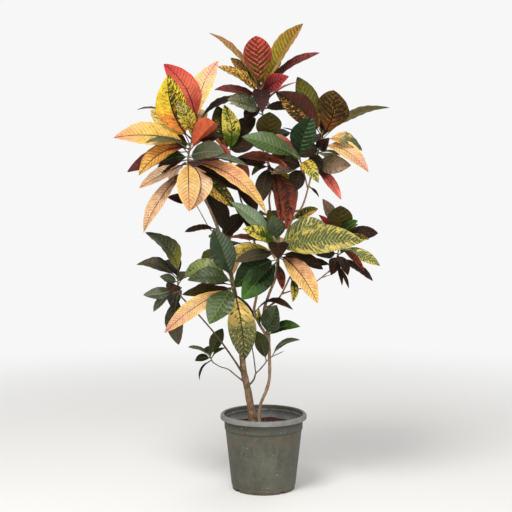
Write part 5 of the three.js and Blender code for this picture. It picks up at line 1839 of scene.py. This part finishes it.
@dataclass
class Pot:
    """The moulded nursery pot: its rolled lip, collar, tapering wall and notched foot.

    Lengths are in millimetres and angles in degrees. The collar stands upright up to where its flare starts. A
    drain notch has a width, a depth and a height, and the moulding mark an angle from the front, a height and a
    radius.
    """

    rim_radius: float = 120.0
    height: float = 211.0
    lip_height: float = 13.5
    collar_bottom: float = 169.0
    collar_radius: float = 109.5
    collar_step: float = 2.0
    flare_start: float = 183.0
    wall_top_radius: float = 106.5
    wall_foot_radius: float = 89.0
    foot_radius: float = 86.7
    foot_height: float = 11.0
    wall: float = 2.4
    floor: float = 3.0
    drains: tuple[float, ...] = (-54.0, 36.0, 126.0, 216.0)
    drain_size: tuple[float, float, float] = (15.0, 12.0, 6.5)
    mark: tuple[float, float, float] = (23.0, 58.0, 2.6)
    segments: int = 160
    wall_rings: int = 14
    inner_rings: int = 6
    bend: float = 0.35
    stiff_height: float = 20.0

    def wall_radius(self, height: float) -> float:
        """Return the outer wall's radius below the collar."""
        share = (height - self.foot_height) / (self.collar_bottom - self.foot_height)
        return self.wall_foot_radius + (self.wall_top_radius - self.wall_foot_radius) * share

    def profile(self) -> list[tuple[float, float]]:
        """Draw the section from the axis below, up the outside, over the lip and down the inside.

        Returns:
            The radius and height of its points.
        """
        high, lip = self.height, self.height - self.lip_height
        rim, collar, bottom = self.rim_radius, self.collar_radius, self.collar_bottom
        foot, wall_foot, foot_top = self.foot_radius, self.wall_foot_radius, self.foot_height
        top = self.wall_radius(bottom)
        outline = [
            (0.0, 0.0), (foot - 30, 0.0), (foot - 1, 0.0), (foot - 0.3, 0.3), (foot, 1.0),
            (foot + 0.5, foot_top - 0.6), (foot + 0.8, foot_top), (wall_foot - 0.4, foot_top + 0.2),
            (wall_foot, foot_top + 0.8),
        ]
        for step in range(1, self.wall_rings + 1):
            level = foot_top + 0.8 + (bottom - 0.8 - foot_top - 0.8) * step / self.wall_rings
            outline.append((self.wall_radius(level), level))
        out, inner = top + self.collar_step, rim - self.wall
        outline += [
            (top + 0.2, bottom - 0.2), (out - 0.3, bottom + 0.5), (out, bottom + 1.1),
            (out + 0.3, self.flare_start), (collar, lip), (collar, lip + 6.4), (collar + 0.6, lip + 7.0),
            (inner - 1.4, lip + 7.0), (inner - 0.8, lip + 6.4), (inner, lip + 0.4), (inner + 0.4, lip),
            (rim - 0.7, lip), (rim - 0.3, lip + 0.4),
        ]
        for degrees in range(0, 91, 15):
            angle = math.radians(degrees)
            outline.append((rim - 6.5 + 6.5 * math.cos(angle), high - 7.5 + 7.5 * math.sin(angle)))
        outline += [
            (rim - 9.0, high - 0.5), (rim - 10.6, high - 1.9), (rim - 11.4, high - 4.4),
            (collar - self.wall, lip - 4.0), (top - self.wall, bottom),
        ]
        for step in range(1, self.inner_rings + 1):
            level = bottom + (self.floor + 2 - bottom) * step / self.inner_rings
            outline.append((self.wall_radius(level) - self.wall, level))
        low = self.wall_radius(self.floor) - self.wall
        return [*outline, (low - 2.0, self.floor), (0.0, self.floor)]

    def build(self, finishes: Finishes) -> None:
        """Turn the section round the axis, cut the drain notches and add the moulding mark.

        Args:
            finishes: the materials.
        """
        mesh = mesh_of("pot_shell", *lathed(self.profile(), self.segments), LIP_SHARP)
        pot = new_piece("pot_shell", mesh, finishes.plastic(), "pot")
        cutters = [self.cutter(angle) for angle in self.drains]
        for cutter in cutters:
            cut = pot.modifiers.new("drain", "BOOLEAN")
            cut.operation = "DIFFERENCE"
            cut.solver = "EXACT"
            cut.object = cutter
        settled(pot)
        for cutter in cutters:
            bpy.data.objects.remove(cutter, do_unlink=True)
        self.age(pot.data)
        self.moulding_mark(finishes)
        LOG.info("pot: %d faces", len(pot.data.polygons))

    def age(self, mesh: Mesh) -> None:
        """Bend the thin wall slightly out of round, as a used pot's is, and store where its inside and lip are.

        Args:
            mesh: the pot's mesh.
        """
        for vertex in mesh.vertices:
            x, y, z = vertex.co / MM
            share = max(0.0, (z - self.stiff_height) / self.height)
            angle = math.atan2(y, x)
            wave = math.sin(2 * angle + 0.6) + 0.5 * math.sin(3 * angle + z * 0.02)
            pull = self.bend * share * wave - 0.2 * share
            vertex.co += Vector((math.cos(angle), math.sin(angle), 0.0)) * pull * MM
        smoothed(mesh)
        mesh.set_sharp_from_angle(angle=math.radians(LIP_SHARP))
        # The inside and the lip are stored for painted light: a paler inside over its shade, and a painted
        # highlight on the lip.
        parts = []
        lip = self.height - self.lip_height
        for vertex in mesh.vertices:
            x, y, z = vertex.co / MM
            radius = math.hypot(x, y)
            within = self.foot_height + 2 < z < lip + 1 and radius < self.wall_radius(z) - self.wall / 2
            parts += [float(within), float(z > lip - 0.8 and radius > self.collar_radius + 0.3), 0.0]
        carry(mesh, "pot_part", parts)

    def cutter(self, degrees: float) -> Object:
        """Make a box that cuts one drain notch.

        Args:
            degrees: where the notch lies, from the front.

        Returns:
            The box.
        """
        wide, deep, high = self.drain_size
        box = bmesh.new()
        bmesh.ops.create_cube(box, size=1.0)
        for vertex in box.verts:
            spot = Vector((vertex.co.x * wide, vertex.co.y * deep - self.foot_radius, vertex.co.z * high * 2))
            vertex.co = Vector((*turned(spot, math.radians(degrees)), spot.z)) * MM
        return in_scene(bpy.data.objects.new("drain", drawn("drain", box)))

    def moulding_mark(self, finishes: Finishes) -> None:
        """Add the small round gate mark that stands out of the wall.

        Args:
            finishes: the materials.
        """
        degrees, level, radius = self.mark
        profile = [(0.0, 0.0), (radius, 0.0), (radius, 1.5), (radius - 0.3, 1.9), (radius - 1.0, 2.1), (0.0, 1.8)]
        points, faces = lathed(profile, 24)
        turn = math.radians(degrees)
        out = Vector((math.sin(turn), -math.cos(turn), 0.0))
        beside = UP.cross(out)
        foot = out * (self.wall_radius(level) - 1.6) + UP * level
        placed = [foot + out * point[2] + beside * point[0] + UP * point[1] for point in points]
        mesh = mesh_of("pot_mark", placed, faces, LIP_SHARP)
        # The mark wears the lip's paler colour, a painted highlight.
        carry(mesh, "pot_part", [0.0, 1.0, 0.0] * len(mesh.vertices))
        new_piece("pot_mark", mesh, finishes.plastic(), "pot")


@dataclass
class Soil:
    """The potting mix: an uneven surface, and loose chips of bark and grit on it.

    The surface rises towards each stem, given by its X, its Y and the reach of its mound.
    """

    pot: Pot
    top: float = 175.0
    gap: float = 0.3
    chips: int = 420
    chip_sizes: tuple[float, float] = (3.0, 9.5)
    grit_sizes: tuple[float, float] = (1.8, 4.0)
    stems: tuple[tuple[float, float, float], ...] = ((-29.0, 0.0, 17.0), (-12.0, -18.0, 8.0))
    surface_rings: int = 44
    segments: int = 150

    def level(self, x: float, y: float) -> float:
        """Find the surface's height.

        Args:
            x: the place's X.
            y: the place's Y.

        Returns:
            The height there.
        """
        swell = 2.2 * math.sin(x / 13) * math.cos(y / 17 + x / 29)
        crumbs = 1.5 * noise.fractal(Vector((x * 0.09, y * 0.09, 0.0)), 0.7, 2.0, 4)
        far = [((x - east) ** 2 + (y - north) ** 2) / (reach * 1.6) ** 2 for east, north, reach in self.stems]
        mound = sum(4.0 * math.exp(-distance) for distance in far)
        return self.top + swell + crumbs + mound * 0.6

    def build(self, finishes: Finishes) -> None:
        """Build the soil's body and its chips.

        Args:
            finishes: the materials.
        """
        heights = (self.pot.collar_bottom, self.pot.floor)
        rim, low = (self.pot.wall_radius(height) - self.pot.wall - self.gap for height in heights)
        base = self.pot.floor + self.gap
        profile = [(0.0, base), (low - 2.3, base), (low, base + 2.3), (rim, self.pot.collar_bottom)]
        profile.append((rim, self.top - 1.0))
        profile += [(rim * (1 - step / self.surface_rings), self.top) for step in range(self.surface_rings + 1)]
        points, faces = lathed(profile, self.segments)
        for point in points:
            if point.z > self.top - 0.5:
                point.z = self.level(point.x, point.y)
        earth = finishes.earth("soil_bed", 0x1C0F08, 0x542E1C)
        new_piece("soil_bed", mesh_of("soil_bed", points, faces), earth, "soil")
        chip_earth = finishes.earth("soil_bark_chips", 0x482618, 0x7C4C32)
        self.scatter("soil_bark_chips", self.chips, self.chip_sizes, chip_earth)
        grit_earth = finishes.earth("soil_grit", 0x786C5E, 0xBAB0A0)
        self.scatter("soil_grit", self.chips // 3, self.grit_sizes, grit_earth)
        LOG.info("soil: %d chips", self.chips)

    def scatter(self, name: str, count: int, sizes: tuple[float, float], earth: Material) -> None:
        """Lay chips on the surface, each a rough lump of its own size and turn.

        Args:
            name: the name of the piece that they make up.
            count: their number.
            sizes: the smallest and the largest, in millimetres.
            earth: what they wear.
        """
        draw = random.Random(SEED + count)
        lumps = bmesh.new()
        limit = self.pot.wall_radius(self.pot.collar_bottom) - self.pot.wall - 7.0
        for _ in range(count):
            radius, angle = limit * math.sqrt(draw.random()), draw.uniform(0, 2 * math.pi)
            x, y = radius * math.cos(angle), radius * math.sin(angle)
            size = draw.uniform(*sizes)
            shape = Vector((size, size * draw.uniform(0.4, 0.8), size * draw.uniform(0.18, 0.42)))
            turn, lean = draw.uniform(0, 2 * math.pi), draw.uniform(-0.35, 0.35)
            lump = bmesh.ops.create_icosphere(lumps, subdivisions=1, radius=0.5)["verts"]
            for vertex in lump:
                spot = vertex.co * (1 + draw.uniform(-0.22, 0.22)) * shape
                spot.z += spot.x * lean
                flat = Vector((*turned(spot, turn), 0.0))
                vertex.co = Vector((x + flat.x, y + flat.y, self.level(x, y) + spot.z + shape.z * 0.2)) * MM
        new_piece(name, drawn(name, lumps), earth, "soil")


@dataclass(frozen=True)
class Studio:
    """The camera at the measuring eye, a pale seamless floor and soft light.

    The lens and the sensor are in millimetres, other lengths in metres, and the lamps' powers in watts. The lamps
    face the aim. From near to far, the floor fades into the backdrop.
    """

    pitch: float = 5.18
    lens: float = 89.9
    sensor: float = 36.0
    floor_size: float = 60.0
    backdrop: Colour = (0.93, 0.93, 0.928)
    floor_colour: Colour = (0.84, 0.84, 0.83)
    low_sky: float = 0.07
    high_sky: float = 0.6
    key_power: float = 86.0
    fill_power: float = 76.0
    rim_power: float = 12.0
    lamp_colour: Colour = (1.0, 0.975, 0.94)
    aim: Place = (0.0, 0.0, 0.75)
    near: float = 0.9
    far: float = 2.6

    def build(self) -> None:
        """Set up the camera, the floor and the lights."""
        camera = in_scene(bpy.data.objects.new("camera", bpy.data.cameras.new("camera")))
        camera.data.lens = self.lens
        camera.data.sensor_width = self.sensor
        camera.location = EYE * MM
        camera.rotation_euler = (math.radians(90 - self.pitch), 0.0, 0.0)
        bpy.context.scene.camera = camera
        bpy.context.scene.view_settings.view_transform = "Standard"
        self.floor()
        self.sky()
        self.lamp("key", (-0.9, -1.7, 3.3), 1.3, self.key_power)
        self.lamp("fill", (0.9, -3.3, 0.95), 2.4, self.fill_power)
        self.lamp("rim", (1.2, 1.9, 2.7), 1.6, self.rim_power)

    def floor(self) -> None:
        """Lay a pale floor that fades into the backdrop's colour away from the pot."""
        half = self.floor_size / 2
        mesh = bpy.data.meshes.new("floor")
        corners = [(-half, -half, 0.0), (half, -half, 0.0), (half, half, 0.0), (-half, half, 0.0)]
        mesh.from_pydata(corners, [], [(0, 1, 2, 3)])
        material = bpy.data.materials.new("floor")
        material.use_nodes = True
        w = Wiring(material.node_tree)
        shader = w.put(w.tree.nodes["Principled BSDF"], Base_Color=self.floor_colour, Roughness=0.9)
        away = w.node("ShaderNodeVectorMath", operation="LENGTH")
        w.feed(away.inputs[0], w.spot())
        glow = w.put(w.node("ShaderNodeEmission"), Color=self.backdrop)
        faded = w.step(away.outputs["Value"], self.near, self.far)
        blend = w.outcome("ShaderNodeMixShader", (faded, shader.outputs[0], glow.outputs[0]))
        w.put(w.tree.nodes["Material Output"], Surface=blend)
        mesh.materials.append(material)
        in_scene(bpy.data.objects.new("floor", mesh))

    def sky(self) -> None:
        """Light the whole scene evenly, and show a pale wall colour behind it."""
        world = bpy.data.worlds.new("studio")
        bpy.context.scene.world = world
        world.use_nodes = True
        w = Wiring(world.node_tree)
        seen = w.node("ShaderNodeLightPath").outputs["Is Camera Ray"]
        up = w.apart(w.node("ShaderNodeTexCoord").outputs["Generated"])[2]
        glow = w.add(self.low_sky, w.times(w.step(up, -0.2, 0.9), self.high_sky - self.low_sky))
        strength = w.math("MAXIMUM", glow, seen)
        w.put(w.tree.nodes["Background"], Color=self.backdrop, Strength=strength)

    def lamp(self, name: str, spot: Place, size: float, power: float) -> None:
        """Hang a soft square lamp that faces the plant.

        Args:
            name: its name.
            spot: where it hangs, in metres.
            size: its width, in metres.
            power: its watts.
        """
        lamp = in_scene(bpy.data.objects.new(name, bpy.data.lights.new(name, "AREA")))
        lamp.data.size = size
        lamp.data.energy = power
        lamp.data.color = self.lamp_colour
        lamp.location = spot
        lamp.rotation_euler = (Vector(self.aim) - Vector(spot)).to_track_quat("-Z", "Y").to_euler()


def main() -> None:
    """Build the studio, the pot with its soil, the two stems and every crown."""
    logging.basicConfig(level=logging.INFO, format="%(message)s")
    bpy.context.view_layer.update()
    Studio().build()
    finishes = Finishes()
    leaves = Foliage(finishes)
    pot = Pot()
    pot.build(finishes)
    Soil(pot).build(finishes)
    limbs: dict[str, Limb] = {}
    for stem in (
        Stem("main_stem", MAIN_BRANCHES, "trunk_bark", (0x402E1C, 0x9C7A54, 0x2E2012)),
        Stem("second_stem", SECOND_BRANCHES, "young_bark", (0x6C5038, 0xB08C6C, 0x4E3624)),
    ):
        stem.build(finishes, leaves)
        limbs |= stem.limbs
    for shoot in SHOOTS:
        Crown(shoot, limbs[shoot.limb]).build(finishes, leaves)
    LOG.info("foliage: %d leaves, %d faces", leaves.count, leaves.faces)


if __name__ == "__main__":
    main()
